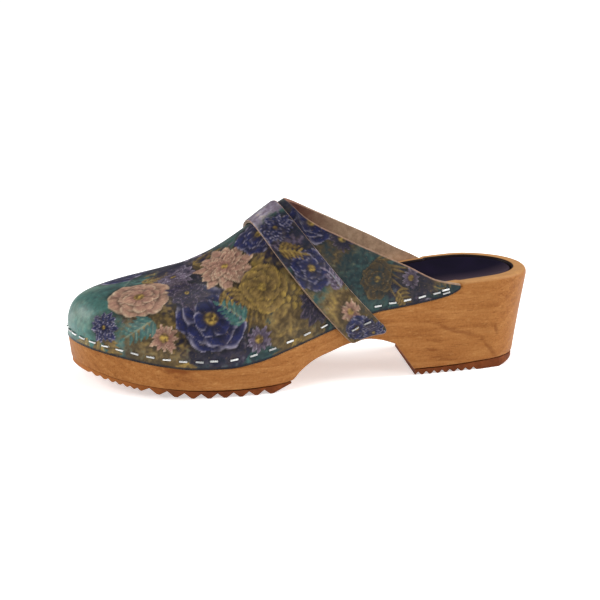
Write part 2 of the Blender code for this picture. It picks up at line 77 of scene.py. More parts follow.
STAPLE_LENGTH, STAPLE_WIDTH, STAPLE_THICKNESS = 4.8, 1.0, 0.6
STAPLE_STATIONS = 58
STRAP_THICKNESS, STRAP_LIFT = 2.0, 0.45
STRAP_STAPLE_HEIGHT = 0.35
STRAP_STAPLES_ACROSS = (0.34, 0.7)
StrapEdge = namedtuple("StrapEdge", "top low sweep end")
STRAP_FRONT = StrapEdge(160.0, 114.5, 1.4, 0.93)
STRAP_REAR = StrapEdge(145.2, 83.6, 1.3, 0.68)
KEY_STATIONS = (RABBET_END, RABBET_FULL, BREAST_FOOT, BREAST_TOP, ARCH_FRONT)


def table(columns, *values):
    """Rows with named columns, one for each tuple of values."""
    row = namedtuple("Row", columns)
    return [row(*value) for value in values]


PLAN = table(
    "x middle half",
    (0, 0.0, 31.0), (30, 0.0, 32.5), (60, 0.8, 32.8), (90, 2.5, 32.0), (115, 3.5, 33.5), (140, 3.6, 38.5),
    (165, 2.8, 43.8), (185, 1.2, 46.0), (205, -1.2, 46.2), (225, -4.0, 45.5), (245, -7.0, 44.5),
    (260, -9.0, 44.0),
)
HEEL_BOTTOM = table("x z", (0, 6.0), (26, 5.4), (48, 4.0), (62, 3.5), (BREAST_FOOT, 3.4))
ARCH_BOTTOM = table(
    "x z",
    (BREAST_TOP, 18.7), (97, 21.8), (105, 23.0), (113, 22.1), (127, 18.4), (137, 15.3), (146, 9.7),
    (ARCH_FRONT, 5.6), (165, 4.2), (185, 3.8), (206, 4.5), (230, 7.0), (245, 9.7), (260, 13.9),
)
LEDGE = table(
    "x z",
    (0, 48.4), (RABBET_END, 48.4), (52, 46.3), (56.5, 44.3), (63, 42.9), (83, 40.0), (100, 38.2),
    (127, 31.2), (153, 23.8), (171, 18.9), (190, 16.4), (206, 16.6), (222, 18.2), (245, 22.1), (260, 24.6),
)
RIM = table(
    "x z dish",
    (0, 52.3, 2.0), (25, 52.2, 4.0), (50, 51.2, 4.0), (83, 47.4, 3.5), (105, 43.4, 3.0), (127, 38.8, 2.5),
    (153, 31.6, 2.0), (171, 27.1, 2.0), (190, 25.1, 2.0), (206, 25.4, 1.8), (222, 26.7, 1.5),
    (245, 30.5, 1.0), (260, 32.6, 1.0),
)
SECTIONS = table(
    "x ridge sway power roof",
    (45, 130.0, -1.0, 2.2, 0.0), (80, 121.8, -2.0, 2.2, 0.0), (110, 111.0, -3.0, 2.2, 0.02),
    (PEAK, 96.3, -4.0, 2.1, 0.08), (165, 79.9, -4.0, 2.1, 0.1), (179, 71.0, -4.0, 2.15, 0.1),
    (192, 64.8, -3.5, 2.25, 0.08), (210, 57.7, -3.0, 2.6, 0.08), (230, 53.2, -2.0, 3.2, 0.1),
    (260, 52.6, 0.0, 3.65, 0.12),
)
COLLAR = table(
    "x outer inner",
    (RABBET_FULL, 50.2, 50.6), (55, 51.2, 53.0), (64, 53.5, 57.3), (71, 56.8, 61.1), (80, 61.8, 66.0),
    (97, 70.0, 74.4), (118, 80.3, 84.7), (137, 90.8, 94.3), (PEAK, 96.3, 96.3),
)
STAPLE_RUNS = table(
    "start end count rise",
    (9.3, 9.3, 1, 2.0), (9.3, 9.3, 1, 3.8), (14.8, 50.0, 5, 3.4), (84.0, 150.2, 7, 4.5),
    (158.0, 237.0, 10, 4.2),
)


# Curves through the tables


def through(rows, column):
    """A smooth function of x through one column of a table, with no overshoot between its rows."""
    xs = np.array([row.x for row in rows], float)
    ys = np.array([getattr(row, column) for row in rows], float)
    step = np.diff(xs)
    slope = np.diff(ys) / step
    tangent = np.zeros(len(xs))
    tangent[0], tangent[-1] = slope[0], slope[-1]
    for i in range(1, len(slope)):
        if slope[i - 1] * slope[i] > 0:
            near, far = 2 * step[i] + step[i - 1], step[i] + 2 * step[i - 1]
            tangent[i] = (near + far) / (near / slope[i - 1] + far / slope[i])

    def value(x):
        x = np.clip(np.asarray(x, float), xs[0], xs[-1])
        k = np.clip(np.searchsorted(xs, x) - 1, 0, len(step) - 1)
        t = (x - xs[k]) / step[k]
        start = (1 + 2 * t) * (1 - t) ** 2 * ys[k] + t * (1 - t) ** 2 * step[k] * tangent[k]
        end = t * t * (3 - 2 * t) * ys[k + 1] - t * t * (1 - t) * step[k] * tangent[k + 1]
        return start + end

    return value


middle, half_width = through(PLAN, "middle"), through(PLAN, "half")
heel_bottom, arch_bottom = through(HEEL_BOTTOM, "z"), through(ARCH_BOTTOM, "z")
ledge = through(LEDGE, "z")
rim, dish = through(RIM, "z"), through(RIM, "dish")
ridge_height, ridge_sway = through(SECTIONS, "ridge"), through(SECTIONS, "sway")
section_power, section_roof = through(SECTIONS, "power"), through(SECTIONS, "roof")
collar_height = {OUTER: through(COLLAR, "outer"), INNER: through(COLLAR, "inner")}


def bottom(x):
    """Height of the wood's underside."""
    breast = np.interp(x, [BREAST_FOOT, BREAST_TOP], [HEEL_BOTTOM[-1].z, ARCH_BOTTOM[0].z])
    return np.where(x <= BREAST_FOOT, heel_bottom(x), np.where(x < BREAST_TOP, breast, arch_bottom(x)))


def skewed(plan):
    """Plan points near the heel breast moved back, more so towards the inner side."""
    x, y = plan[:, 0], plan[:, 1]
    near = np.interp(x, [SKEW_BACK, BREAST_FOOT, BREAST_TOP, SKEW_FRONT], [0, 1, 1, 0])
    across = 0.5 - (y - middle(x)) / (2 * half_width(x))
    return np.column_stack([x - BREAST_SKEW * near * across, y])


def end_rounding(x):
    heel = np.clip((HEEL_ROUND - x) / HEEL_ROUND, 0, 1)
    toe = np.clip((x - LENGTH + TOE_ROUND) / TOE_ROUND, 0, 1)
    return (1 - heel**HEEL_POWER) ** (1 / HEEL_POWER) * (1 - toe**TOE_POWER) ** (1 / TOE_POWER)


def outline(side, x):
    """y of the sole's side at the level of the leather's seat."""
    return middle(x) + side * half_width(x) * end_rounding(x)


def stations(count, crisp=()):
    """x from heel to toe, closer together at both ends, with one on each crisp spot."""
    turn = np.linspace(0, math.pi, count + 1)
    xs = LENGTH * (1 - np.cos(turn)) / 2
    for spot in crisp:
        xs[np.argmin(np.abs(xs - spot))] = spot
    return xs


class Loop:
    """The plan outline as one closed run of points: outer side from heel to toe, then the inner side back."""

    def __init__(self, xs):
        self.x = np.concatenate([xs, xs[-2:0:-1]])
        self.side = np.concatenate([np.full(len(xs), OUTER), np.full(len(xs) - 2, INNER)])
        self.points = np.stack([self.x, outline(self.side, self.x)], 1)
        along = np.roll(self.points, -1, 0) - np.roll(self.points, 1, 0)
        along /= np.linalg.norm(along, axis=1)[:, None]
        self.inward = np.stack([along[:, 1], -along[:, 0]], 1)
        spine_x = np.clip(self.x, SPINE_BACK, SPINE_FRONT)
        self.spine = np.stack([spine_x, middle(spine_x)], 1)

    def inset(self, distance):
        return self.points + self.inward * np.reshape(distance, (-1, 1))

    def towards_spine(self, plan, share):
        return plan + (self.spine - plan) * share

    def taper(self):
        back = np.clip(self.inward[:, 0], 0, 1) ** 2 * (self.x < HEEL_ROUND)
        return SIDE_TAPER + (BACK_TAPER - SIDE_TAPER) * back

    def rabbet(self):
        return np.interp(self.x, [RABBET_END, RABBET_FULL], [0, RABBET])


def footbed(x, share):
    return rim(x) - RECESS - dish(x) * (1 - (1 - share) ** 2)


def ridge_point(x):
    front = np.interp(x, [FAN_BACK, LENGTH], [FAN_BACK, RIDGE_FRONT])
    along = np.where(x > FAN_BACK, front, x)
    return np.array([along, middle(along) + ridge_sway(along), ridge_height(along)])


SECTION_SAMPLES = 400


def section(side, x, foot, whole=False):
    """Closely spaced points up the upper's skin from the foot, a point in plan beside station x, to the
    ridge, or to the collar's edge where that is lower and the whole section isn't asked for."""
    turn = np.linspace(0, math.pi / 2, SECTION_SAMPLES)
    power, roof = section_power(x), section_roof(x)
    top = ridge_point(x)
    seat = ledge(x) + GAP
    out, up = np.cos(turn) ** (2 / power), np.sin(turn) ** (2 / power)
    reach = np.hypot(*(foot - top[:2]))
    plan = top[:2] + np.outer(out, foot - top[:2])
    z = seat + (top[2] - roof * reach * out - seat) * up
    points = np.column_stack([plan, z])
    points[-1] = top
    if x >= PEAK or whole:
        return points
    edge = collar_height[side](x)
    last = np.searchsorted(z, edge)
    share = (edge - z[last - 1]) / (z[last] - z[last - 1])
    return np.vstack([points[:last], points[last - 1] + share * (points[last] - points[last - 1])])


def measured(points):
    """Distance of each point of a run from its start."""
    return np.concatenate([[0], np.cumsum(np.linalg.norm(np.diff(points, axis=0), axis=1))])


def along_run(points, distances):
    length = measured(points)
    return np.column_stack([np.interp(distances, length, points[:, k]) for k in range(3)])


def evenly(points, count):
    return along_run(points, np.linspace(0, measured(points)[-1], count))


def jacket(side, x, height):
    """A point on the outside of the shoe: height is 0 at the leather's lower edge, 1 on the ridge and
    -1 at the bottom of the wood's side."""
    foot = np.array([x, outline(side, x) + side * PROUD])
    if height >= 0:
        run = section(side, x, foot, whole=True)
        return along_run(run, [height * measured(run)[-1]])[0]
    z = ledge(x) + GAP + height * (ledge(x) + GAP - bottom(x))
    y = outline(side, x) + side * np.interp(height, [PROUD_FADE, 0], [0, PROUD])
    return np.array([x, y, z])


# Meshes

OUTLINE_SAMPLES = 4000
WELD_DIGITS = 4
SHARP, SOLE_SHARP, LEATHER_SHARP = 40.0, 38.0, 50.0     # degrees beyond which an edge is crisp


def shift_to_frame():
    """Where the tables' zero lies in the frame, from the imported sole."""
    low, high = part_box("wood_sole")
    xs = np.linspace(0, LENGTH, OUTLINE_SAMPLES)
    across = (outline(OUTER, xs).max() + outline(INNER, xs).min()) / 2
    return np.array([low.x / MM, (low.y + high.y) / 2 / MM - across, 0.0])


SHIFT = shift_to_frame()


def place(points):
    """Points of the tables, in millimetres, as metres in the frame."""
    return (np.asarray(points, float) + SHIFT) * MM


def unit(vector):
    return vector / np.linalg.norm(vector)


def weld(points, faces):
    """Merges points that coincide, and drops the corners and faces that this closes. Returns the points and
    faces that are left, the new number of each old point, and the first old number of each new one."""
    keys = np.round(points, WELD_DIGITS)
    _, first, index = np.unique(keys, axis=0, return_index=True, return_inverse=True)
    index = index.ravel()
    kept = []
    for face in faces:
        corners = list(dict.fromkeys(index[list(face)]))
        if len(corners) > 2:
            kept.append(corners)
    return points[first], kept, index, first


def grid_faces(columns, rows):
    """Quads over a grid whose points are numbered row by row within each column."""
    starts = [(i * rows, (i + 1) * rows) for i in range(columns - 1)]
    return [(a + j, b + j, b + j + 1, a + j + 1) for a, b in starts for j in range(rows - 1)]


def run_lengths(grid, axis):
    """How far each point of a grid lies from its first one, measured along one axis of the grid."""
    steps = np.linalg.norm(np.diff(grid, axis=axis), axis=2)
    return np.insert(np.cumsum(steps, axis=axis), 0, 0.0, axis=axis)


def vertex_normals(points, faces):
    normals = np.zeros_like(points)
    for size in (3, 4):
        group = np.array([face for face in faces if len(face) == size])
        if len(group):
            across = points[group[:, 2]] - points[group[:, 0]]
            other = points[group[:, size - 1]] - points[group[:, 1]]
            flat = np.cross(across, other)
            for k in range(size):
                np.add.at(normals, group[:, k], flat)
    return normals / np.maximum(np.linalg.norm(normals, axis=1), TINY)[:, None]


def facing_out(points, faces):
    """The faces turned outwards, their vertex normals, and whether they had to be turned."""
    normals = vertex_normals(points, faces)
    turned = normals[np.argmax(points[:, 1])][1] < 0
    if turned:
        return [face[::-1] for face in faces], -normals, turned
    return faces, normals, turned


def new_piece(name, points, faces, materials, face_slots=None, sharp=SHARP, colours=None):
    """An object from points in millimetres, riding on the shoe's one body."""
    mesh = bpy.data.meshes.new(name)
    mesh.from_pydata(place(points).tolist(), [], [list(map(int, face)) for face in faces])
    for material in materials:
        mesh.materials.append(material)
    if face_slots is not None:
        mesh.polygons.foreach_set("material_index", np.asarray(face_slots, np.int32))
    if colours is not None:
        layer = mesh.color_attributes.new("print", "FLOAT_COLOR", "POINT")
        layer.data.foreach_set("color", np.column_stack([colours, np.ones(len(colours))]).ravel())
    mesh.shade_smooth()
    mesh.set_sharp_from_angle(angle=math.radians(sharp))
    mesh.update()
    obj = bpy.data.objects.new(name, mesh)
    bpy.context.scene.collection.objects.link(obj)
    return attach(obj, "root")


# Noise and blending for what is worked out point by point

NOISE_CELLS = 32
NOISE_TABLE = np.random.default_rng(7).random((NOISE_CELLS, NOISE_CELLS, NOISE_CELLS))


def smooth(low, high, value):
    t = np.clip((value - low) / (high - low), 0, 1)
    return t * t * (3 - 2 * t)


def noise(points, size):
    """Smooth noise from 0 to 1 with features of about that size."""
    scaled = np.asarray(points, float) / size
    cell = np.floor(scaled).astype(int)
    t = scaled - cell
    t = t * t * (3 - 2 * t)
    total = 0.0
    for corner in range(8):
        offset = np.array([corner & 1, corner >> 1 & 1, corner >> 2 & 1])
        weight = np.prod(np.where(offset, t, 1 - t), axis=1)
        i, j, k = ((cell + offset) % NOISE_CELLS).T
        total = total + weight * NOISE_TABLE[i, j, k]
    return total


def clouds(points, *layers):
    """Noise summed over (weight, shift, size) layers."""
    return sum(weight * noise(points + shift, size) for weight, shift, size in layers)


def grain(size, *axes):
    """Noise over three coordinates, any of which may be one number."""
    return noise(np.column_stack(np.broadcast_arrays(*axes)), size)


def linear(colour):
    """Linear values of an 8-bit sRGB colour."""
    c = np.asarray(colour, float) / 255
    return np.where(c <= 0.04045, c / 12.92, ((c + 0.055) / 1.055) ** 2.4)


# The wood sole and the insole

SOLE_STATIONS, INSOLE_STATIONS = 230, 170
UNDERSIDE_RINGS, SIDE_RINGS, FOOTBED_RINGS = 7, 9, 8
LOWER_STEPS, SEAT_STEPS, RIM_STEPS, RECESS_STEPS = 6, 4, 7, 5
SEAT_EDGE = 0.5
RIM_DROP = 2.6
HEEL_RIM, HEEL_RIM_END = 2.3, 60.0
CRISP_EDGE, CRISP_START, CRISP_END = 0.2, 195.0, 235.0
INSOLE_EDGE, INSOLE_STEPS = 0.7, 5
INSOLE_UNDER_RINGS, INSOLE_TOP_RINGS = 9, 14


def lifted(plan, z):
    return np.column_stack([plan, z])


def arc(count):
    """(sine, cosine) pairs through a quarter turn."""
    turn = np.linspace(0, math.pi / 2, count)
    return list(zip(np.sin(turn), np.cos(turn)))


def ring_body(rings):
    """Points and faces of a body through closed rings, and the number of each point's ring."""
    count = len(rings[0])
    faces = []
    for r in range(len(rings) - 1):
        a, b = r * count, (r + 1) * count
        faces += [(a + i, a + (i + 1) % count, b + (i + 1) % count, b + i) for i in range(count)]
    points, faces, _, first = weld(np.concatenate(rings), faces)
    return points, [face[::-1] for face in faces], first // count


def rim_inset(loop):
    """How far in the rim reaches: it is wider round the heel's back, where the insole is rounder."""
    return loop.rabbet() + RIM_WIDTH + HEEL_RIM * smooth(HEEL_RIM_END, 0, loop.x)


def wood_sole(material):
    """Rings from the underside's spine, up the side, over seat and rim, and down into the footbed."""
    loop = Loop(stations(SOLE_STATIONS, KEY_STATIONS))
    taper, rabbet = loop.taper(), loop.rabbet()
    seat_edge = SEAT_EDGE * rabbet / RABBET
    lower_edge = CRISP_EDGE + (LOWER_EDGE - CRISP_EDGE) * smooth(CRISP_END, CRISP_START, loop.x)
    under = loop.inset(taper + lower_edge)
    low = bottom(under[:, 0])
    seat, top = ledge(loop.x), rim(loop.x)
    rings = []
    for share in np.linspace(1, 0, UNDERSIDE_RINGS):
        plan = loop.towards_spine(under, share)
        rings.append(lifted(skewed(plan), bottom(plan[:, 0])))
    for sine, cosine in arc(LOWER_STEPS)[1:]:
        plan = skewed(loop.inset(taper + lower_edge * (1 - sine)))
        rings.append(lifted(plan, low + lower_edge * (1 - cosine)))
    foot_height = low + lower_edge
    side_top = seat - seat_edge
    for share in np.linspace(0, 1, SIDE_RINGS)[1:]:
        plan = skewed(loop.inset(taper)) * (1 - share) + loop.inset(0) * share
        rings.append(lifted(plan, foot_height + (side_top - foot_height) * share))
    for sine, cosine in arc(SEAT_STEPS)[1:]:
        rings.append(lifted(loop.inset(seat_edge * (1 - cosine)), side_top + seat_edge * sine))
    rings.append(lifted(loop.inset(rabbet), seat))
    for sine, cosine in arc(RIM_STEPS):
        plan = loop.inset(rabbet + 2 * RIM_EDGE * (1 - cosine))
        rings.append(lifted(plan, top - RIM_DROP * (1 - sine)))
    inner = rim_inset(loop)
    shaded_from = len(rings) + 1
    for sine, cosine in arc(RECESS_STEPS):
        plan = loop.inset(inner - RIM_EDGE / 2 + RIM_EDGE * sine)
        rings.append(lifted(plan, rim(plan[:, 0]) - RIM_EDGE * (1 - cosine)))
    recess = loop.inset(inner + RIM_EDGE / 2)
    for share in np.linspace(0, 1, FOOTBED_RINGS):
        plan = loop.towards_spine(recess, share)
        rings.append(lifted(plan, footbed(plan[:, 0], share)))
    points, faces, numbers = ring_body(rings)
    # painted shade: marks the recess's wall from the second ring of its rounding inwards, and the footbed
    # under the insole, to be painted dark
    darkening = np.outer(numbers >= shaded_from, np.ones(3))
    piece = new_piece("wood_sole_carved", points, faces, [material], sharp=SOLE_SHARP, colours=darkening)
    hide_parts("wood_sole")


def insole(material):
    """Rings from the underside's spine, round the rounded edge and back over the top."""
    loop = Loop(stations(INSOLE_STATIONS))
    edge = rim_inset(loop) + RIM_EDGE + GAP
    plan = loop.inset(edge)
    rings = []
    for share in np.linspace(1, 0, INSOLE_UNDER_RINGS):
        spot = loop.towards_spine(plan, share)
        rings.append(lifted(spot, footbed(spot[:, 0], share) + GAP))
    top = footbed(plan[:, 0], 0) + GAP + INSOLE_THICKNESS
    for sine, cosine in arc(INSOLE_STEPS):
        rounded = loop.inset(edge + INSOLE_EDGE * (1 - cosine))
        rings.append(lifted(rounded, top - INSOLE_EDGE * (1 - sine)))
    for share in np.linspace(0, 1, INSOLE_TOP_RINGS)[1:]:
        spot = loop.towards_spine(rounded, share)
        rings.append(lifted(spot, footbed(spot[:, 0], share) + GAP + INSOLE_THICKNESS))
    points, faces, _ = ring_body(rings)
    piece = new_piece("insole_sheet", points, faces, [material])
    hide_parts("insole")


# Staples

STAPLE_TURN = 0.07      # how far hand-set staples stray from the edge's line, in radians
STAPLE_PHASE = 2.4      # makes each staple stray in its own way
STAPLE_BURY = 0.9       # how deep the crown's ends turn down into the leather
STAPLE_BEND = 0.86      # where they start to turn, as a share of half the length
STAPLE_CLEAR = 0.05
STAPLE_STEPS = (-1, -0.985, -0.95, -0.88, -0.6, 0, 0.6, 0.88, 0.95, 0.985, 1)
STAPLE_RING = np.linspace(0, 2 * math.pi, 9)[:-1]
STAPLE_SHINE = (0.42, 0.85)
STRAP_SHINE = 0.5       # the strap's staples are duller, by this factor
LINE_REACH = 2.0        # the edge's line at a staple is taken this far to either side of it
BAR_ACROSS, BAR_UP = 0.1, 0.03  # and the strap's own directions over these shares of it


def bar_places():
    """(centre, along, outward) of each staple round the upper's lower edge."""
    loop = Loop(stations(STAPLE_STATIONS, KEY_STATIONS + (PEAK,)))
    feet = loop.inset(-PROUD)
    kept = loop.x >= RABBET_FULL
    runs = [section(s, x, foot) for s, x, foot in zip(loop.side[kept], loop.x[kept], feet[kept])]
    found = []
    for row in STAPLE_RUNS:
        line, above = (np.array([along_run(run, [up])[0] for run in runs]) for up in (row.rise, row.rise + 1))
        length = measured(line)
        for distance in np.linspace(row.start, row.end, row.count):
            for spot in (distance, length[-1] - distance):
                start, centre, end = along_run(line, [spot - LINE_REACH, spot, spot + LINE_REACH])
                up = [np.interp(spot, length, above[:, k]) for k in range(3)] - centre
                found.append((centre, end - start, np.cross(up, end - start)))
    return found


def strap_bar_places():
    """Two staples through each end of the strap."""
    found = []
    share = (STRAP_FRONT.end - STRAP_STAPLE_HEIGHT) / (1 + STRAP_FRONT.end)
    for side in SIDES:
        for across in STRAP_STAPLES_ACROSS:
            centre = strap_point(side, share, across)
            rear, front = (strap_point(side, share, across + step) for step in (BAR_ACROSS, -BAR_ACROSS))
            along = rear - front
            up = strap_point(side, share + BAR_UP, across) - centre
            outward = np.cross(along, up)
            outward *= side * np.sign(outward[1]) / np.linalg.norm(outward)
            found.append((centre + outward * (STRAP_LIFT + STRAP_THICKNESS), along, outward))
    return found


def staples(edge_places, strap_places, material):
    """Wire crowns with rounded sections, their ends turned down into the leather."""
    places = edge_places + strap_places
    shine = np.random.default_rng(3).uniform(*STAPLE_SHINE, len(places))
    shine[len(edge_places):] *= STRAP_SHINE
    steps, sides = len(STAPLE_STEPS), len(STAPLE_RING)
    points, faces = [], []
    for number, (centre, along, outward) in enumerate(places):
        along, outward = unit(along), unit(outward)
        across = np.cross(outward, along)
        stray = STAPLE_TURN * math.sin(number * STAPLE_PHASE)
        along = along * math.cos(stray) + across * math.sin(stray)
        across = np.cross(outward, along)
        base = len(points)
        for s in STAPLE_STEPS:
            sunk = STAPLE_BURY * max(0.0, abs(s) - STAPLE_BEND) / (1 - STAPLE_BEND)
            rise = STAPLE_THICKNESS / 2 + STAPLE_CLEAR - sunk
            spot = centre + along * s * STAPLE_LENGTH / 2 + outward * rise
            for t in STAPLE_RING:
                flat = across * math.cos(t) * STAPLE_WIDTH / 2 + outward * math.sin(t) * STAPLE_THICKNESS / 2
                points.append(spot + flat)
        for i in range(steps - 1):
            a, b = base + i * sides, base + (i + 1) * sides
            faces += [(a + j, b + j, b + (j + 1) % sides, a + (j + 1) % sides) for j in range(sides)]
        faces.append(tuple(range(base, base + sides)))
        faces.append(tuple(range(len(points) - sides, len(points)))[::-1])
    colours = np.repeat(shine, steps * sides)[:, None] * np.ones(3)
    piece = new_piece("staple_wires", np.array(points), faces, [material], colours=colours)
    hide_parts(*[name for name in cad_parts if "staple" in name])


# The print: a painted floral of the shoe's own, laid on point by point

INK = {
    "night": (12, 13, 44), "navy": (32, 38, 86), "plum": (50, 40, 62), "mauve": (124, 108, 126),
    "clay": (128, 88, 78), "blush": (178, 140, 116), "cream": (214, 192, 162), "frost": (176, 168, 184),
    "umber": (78, 60, 30), "gold": (144, 116, 64), "sun": (184, 152, 70), "pine": (26, 46, 52),
    "teal": (50, 84, 84), "sea": (70, 114, 106), "mist": (132, 150, 132),
}
INK = {name: linear(colour) for name, colour in INK.items()}

Tone = namedtuple("Tone", "base body rim")
TONES = {
    "navy": ("night", "navy", "frost"),
    "blush": ("clay", "blush", "cream"),
    "mauve": ("plum", "mauve", "frost"),
    "pearl": ("mauve", "frost", "cream"),
    "dusk": ("night", "plum", "mauve"),
    "gold": ("umber", "gold", "sun"),
    "bronze": ("pine", "umber", "gold"),
    "teal": ("pine", "teal", "sea"),
    "sea": ("teal", "sea", "mist"),
}
TONES = {name: Tone(*(INK[ink] for ink in inks)) for name, inks in TONES.items()}

Patch = namedtuple("Patch", "near a b")
Spot = namedtuple("Spot", "centre normal right up")
EVERY = slice(None)
MOST_STRETCH = 1.6      # limits how far a motif is drawn out where the leather curves away from its plane
LEAST_FACING = 0.05     # keeps a motif off leather that faces away from it
X_STEP, HEIGHT_STEP = 0.6, 0.004        # to either side of a spot on the upper, for its directions there
ACROSS_STEP, SHARE_STEP = 0.04, 0.015   # the same for a spot on the strap
# the first is the width of the upper's dark lower edge, which is partly painted shadow
DARK_EDGE_AND_SHADOW, COLLAR_EDGE, STRAP_EDGE = 1.1, 0.8, 0.45
FAR = 100.0             # a distance beyond the reach of any edge


def mixed(first, second, share):
    share = np.clip(share, 0, 1)[:, None]
    return first * (1 - share) + second * share


class Print:
    """Colours for the points of one piece of leather."""

    def __init__(self, points, normals, seed):
        self.points, self.normals = points, normals
        self.rgb = np.zeros_like(points)
        self.chance = np.random.default_rng(seed)

    def ground(self, pale):
        """A washed teal ground. pale, from 0 to 1 for each point, is how light the wash is."""
        wash = clouds(self.points, (0.5, 0, 17), (0.3, 50, 5), (0.2, 9, 1.8))
        self.rgb = mixed(INK["pine"], INK["sea"], wash * 1.4 - 0.45 + 0.6 * pale)
        bloom = clouds(self.points, (0.6, 70, 11), (0.4, 33, 2.2))
        self.lay(EVERY, INK["mist"], 0.25 * smooth(0.45, 0.74, bloom) * (0.4 + pale))

    def around(self, spot, reach):
        """Indices of the points near a spot, and their places in its own plane, in millimetres."""
        away = self.points - spot.centre
        distance = np.linalg.norm(away, axis=1)
        near = np.where((distance < reach) & (self.normals @ spot.normal > LEAST_FACING))[0]
        a, b = away[near] @ spot.right, away[near] @ spot.up
        stretch = np.minimum(distance[near] / np.maximum(np.hypot(a, b), CLOSE), MOST_STRETCH)
        return Patch(near, a * stretch, b * stretch)

    def lay(self, near, colour, amount):
        self.rgb[near] = mixed(self.rgb[near], colour, amount)

    def shade(self, near, amount):
        self.rgb[near] *= 1 - np.clip(amount, 0, 1)[:, None]

    def turn(self):
        """A chance angle, in radians, of up to about a full turn."""
        return 6.28 * self.chance.random()

    def draw(self, spot, kind, size, tone, **options):
        """One motif, where any of the points lie under it."""
        motif = MAKERS[kind]
        patch = self.around(spot, size * motif.reach)
        if len(patch.near):
            motif.maker(self, patch, size, TONES[tone], **options)

    def scatter(self, spots, tones):
        """A first layer of small muted foliage over the whole ground."""
        for spot in spots:
            tone = tones[int(self.chance.random() * len(tones))]
            size = 13 + 9 * self.chance.random()
            self.draw(spot, "sprig", size, tone, pairs=4, lean=0.7, strength=0.6)

    def finish(self, strength):
        """Uneven ink of a given strength, so that the print sits in the leather."""
        uneven = 0.8 + clouds(self.points, (0.24, 11, 9), (0.16, 29, 1.3))
        self.rgb = self.rgb * (uneven * strength)[:, None]

    def edges(self, below, above, pale):
        """A dark lower edge, partly the cut edge's own colour and partly painted shadow where the leather
        meets the wood, and a pale worn upper one of a given width.
        """
        # the lower edge: a dark cut edge with painted shadow laid over it, where the leather meets the wood
        self.lay(EVERY, INK["night"] * 0.4, 0.9 * smooth(DARK_EDGE_AND_SHADOW * 1.4, DARK_EDGE_AND_SHADOW * 0.6, below))
        self.lay(EVERY, INK["blush"], 0.75 * smooth(pale * 1.3, pale * 0.5, above))


def turned_spot(side, centre, ahead, above, turn):
    """A place with axes in the leather's plane, turned by an angle from its two directions there."""
    normal = np.cross(ahead, above)
    normal *= np.sign(normal @ np.array([0.0, side, 0.5])) / np.linalg.norm(normal)
    ahead = unit(ahead)
    above = np.cross(normal, ahead)
    right = ahead * math.cos(turn) + above * math.sin(turn)
    return Spot(centre, normal, right, np.cross(normal, right))


def upper_spot(side, x, height, turn):
    ahead = jacket(side, x + X_STEP, height) - jacket(side, x - X_STEP, height)
    above = jacket(side, x, height + HEIGHT_STEP) - jacket(side, x, max(height - HEIGHT_STEP, 0))
    return turned_spot(side, jacket(side, x, height), ahead, above, turn)


def strap_spot(side, share, across, turn):
    ahead = strap_point(side, share, across - ACROSS_STEP) - strap_point(side, share, across + ACROSS_STEP)
    higher, lower = min(share + SHARE_STEP, 1), share - SHARE_STEP
    above = strap_point(side, higher, across) - strap_point(side, lower, across)
    return turned_spot(side, strap_point(side, share, across), ahead, above, turn)


WIDEST = 0.55           # where a blunt petal is widest, as a share of its length
STEM = 0.85             # a sprig's stem, as a share of the sprig's size


def petal(art, patch, angle, length, width, tone, blunt):
    """One petal from the middle outwards: dark at its foot, streaked, with a pale worn rim."""
    near, a, b = patch
    seed = 3 + 7 * art.chance.random()
    out = (a * math.cos(angle) + b * math.sin(angle)) / length
    across = (b * math.cos(angle) - a * math.sin(angle)) / width
    ruffle = grain(1.0, across * 2.6 + seed, seed, seed)
    out = out / (0.84 + 0.24 * ruffle)
    t = np.clip(out, 0, 1)
    if blunt:
        tip = np.sqrt(np.clip(1 - ((t - WIDEST) / (1 - WIDEST)) ** 2, 0, 1))
        profile = np.where(t < WIDEST, (t / WIDEST) ** 0.8, tip)
    else:
        profile = np.sin(math.pi * t**0.72) ** 0.75
    inside = np.where((out <= 0) | (out >= 1), -1.0, profile - np.abs(across))
    art.shade(near, 0.42 * smooth(-0.4, 0.05, inside) * (out > -0.05))
    streak = grain(1.0, across * 8 + seed * 3, out * 1.6, seed)
    blot = grain(3.0, a, b, seed)
    lit = 1.2 * t**1.2 - 0.25 + 0.8 * (streak - 0.5) + 0.5 * (blot - 0.5)
    colour = mixed(tone.base, tone.body, lit)
    edge = smooth(0.34, 0.0, inside) * smooth(0.3, 0.75, out) * smooth(0.3, 0.75, 0.6 * streak + 0.5 * blot)
    colour = mixed(colour, tone.rim, 0.85 * edge)
    vein = smooth(0.16, 0.04, np.abs(np.sin(across * 8 + 3 * (ruffle - 0.5)))) * smooth(0.1, 0.5, out)
    colour = mixed(colour, tone.base, 0.3 * vein)
    art.lay(near, colour, smooth(0.0, 0.1, inside))


def blossom(art, patch, size, tone, bloom):
    """An open bloom: rings of petals round a speckled heart."""
    near, a, b = patch
    reach = np.hypot(a, b) / size
    art.shade(near, 0.5 * smooth(1.25, 0.6, reach))
    for number, ring in enumerate(bloom.rings):
        for k in range(bloom.petals):
            angle = 2 * math.pi * (k + 0.5 * number) / bloom.petals + 0.3 * (art.chance.random() - 0.5)
            length = size * ring * (0.9 + 0.2 * art.chance.random())
            petal(art, patch, angle, length, length * bloom.width, tone, bloom.blunt)
    speckle = grain(1.1, a, b, size)
    heart = smooth(bloom.heart * 1.3, bloom.heart * 0.7, reach + 0.25 * bloom.heart * (speckle - 0.5))
    art.lay(near, mixed(INK["umber"], INK["sun"], 2.2 * (speckle - 0.3)), 0.9 * heart)


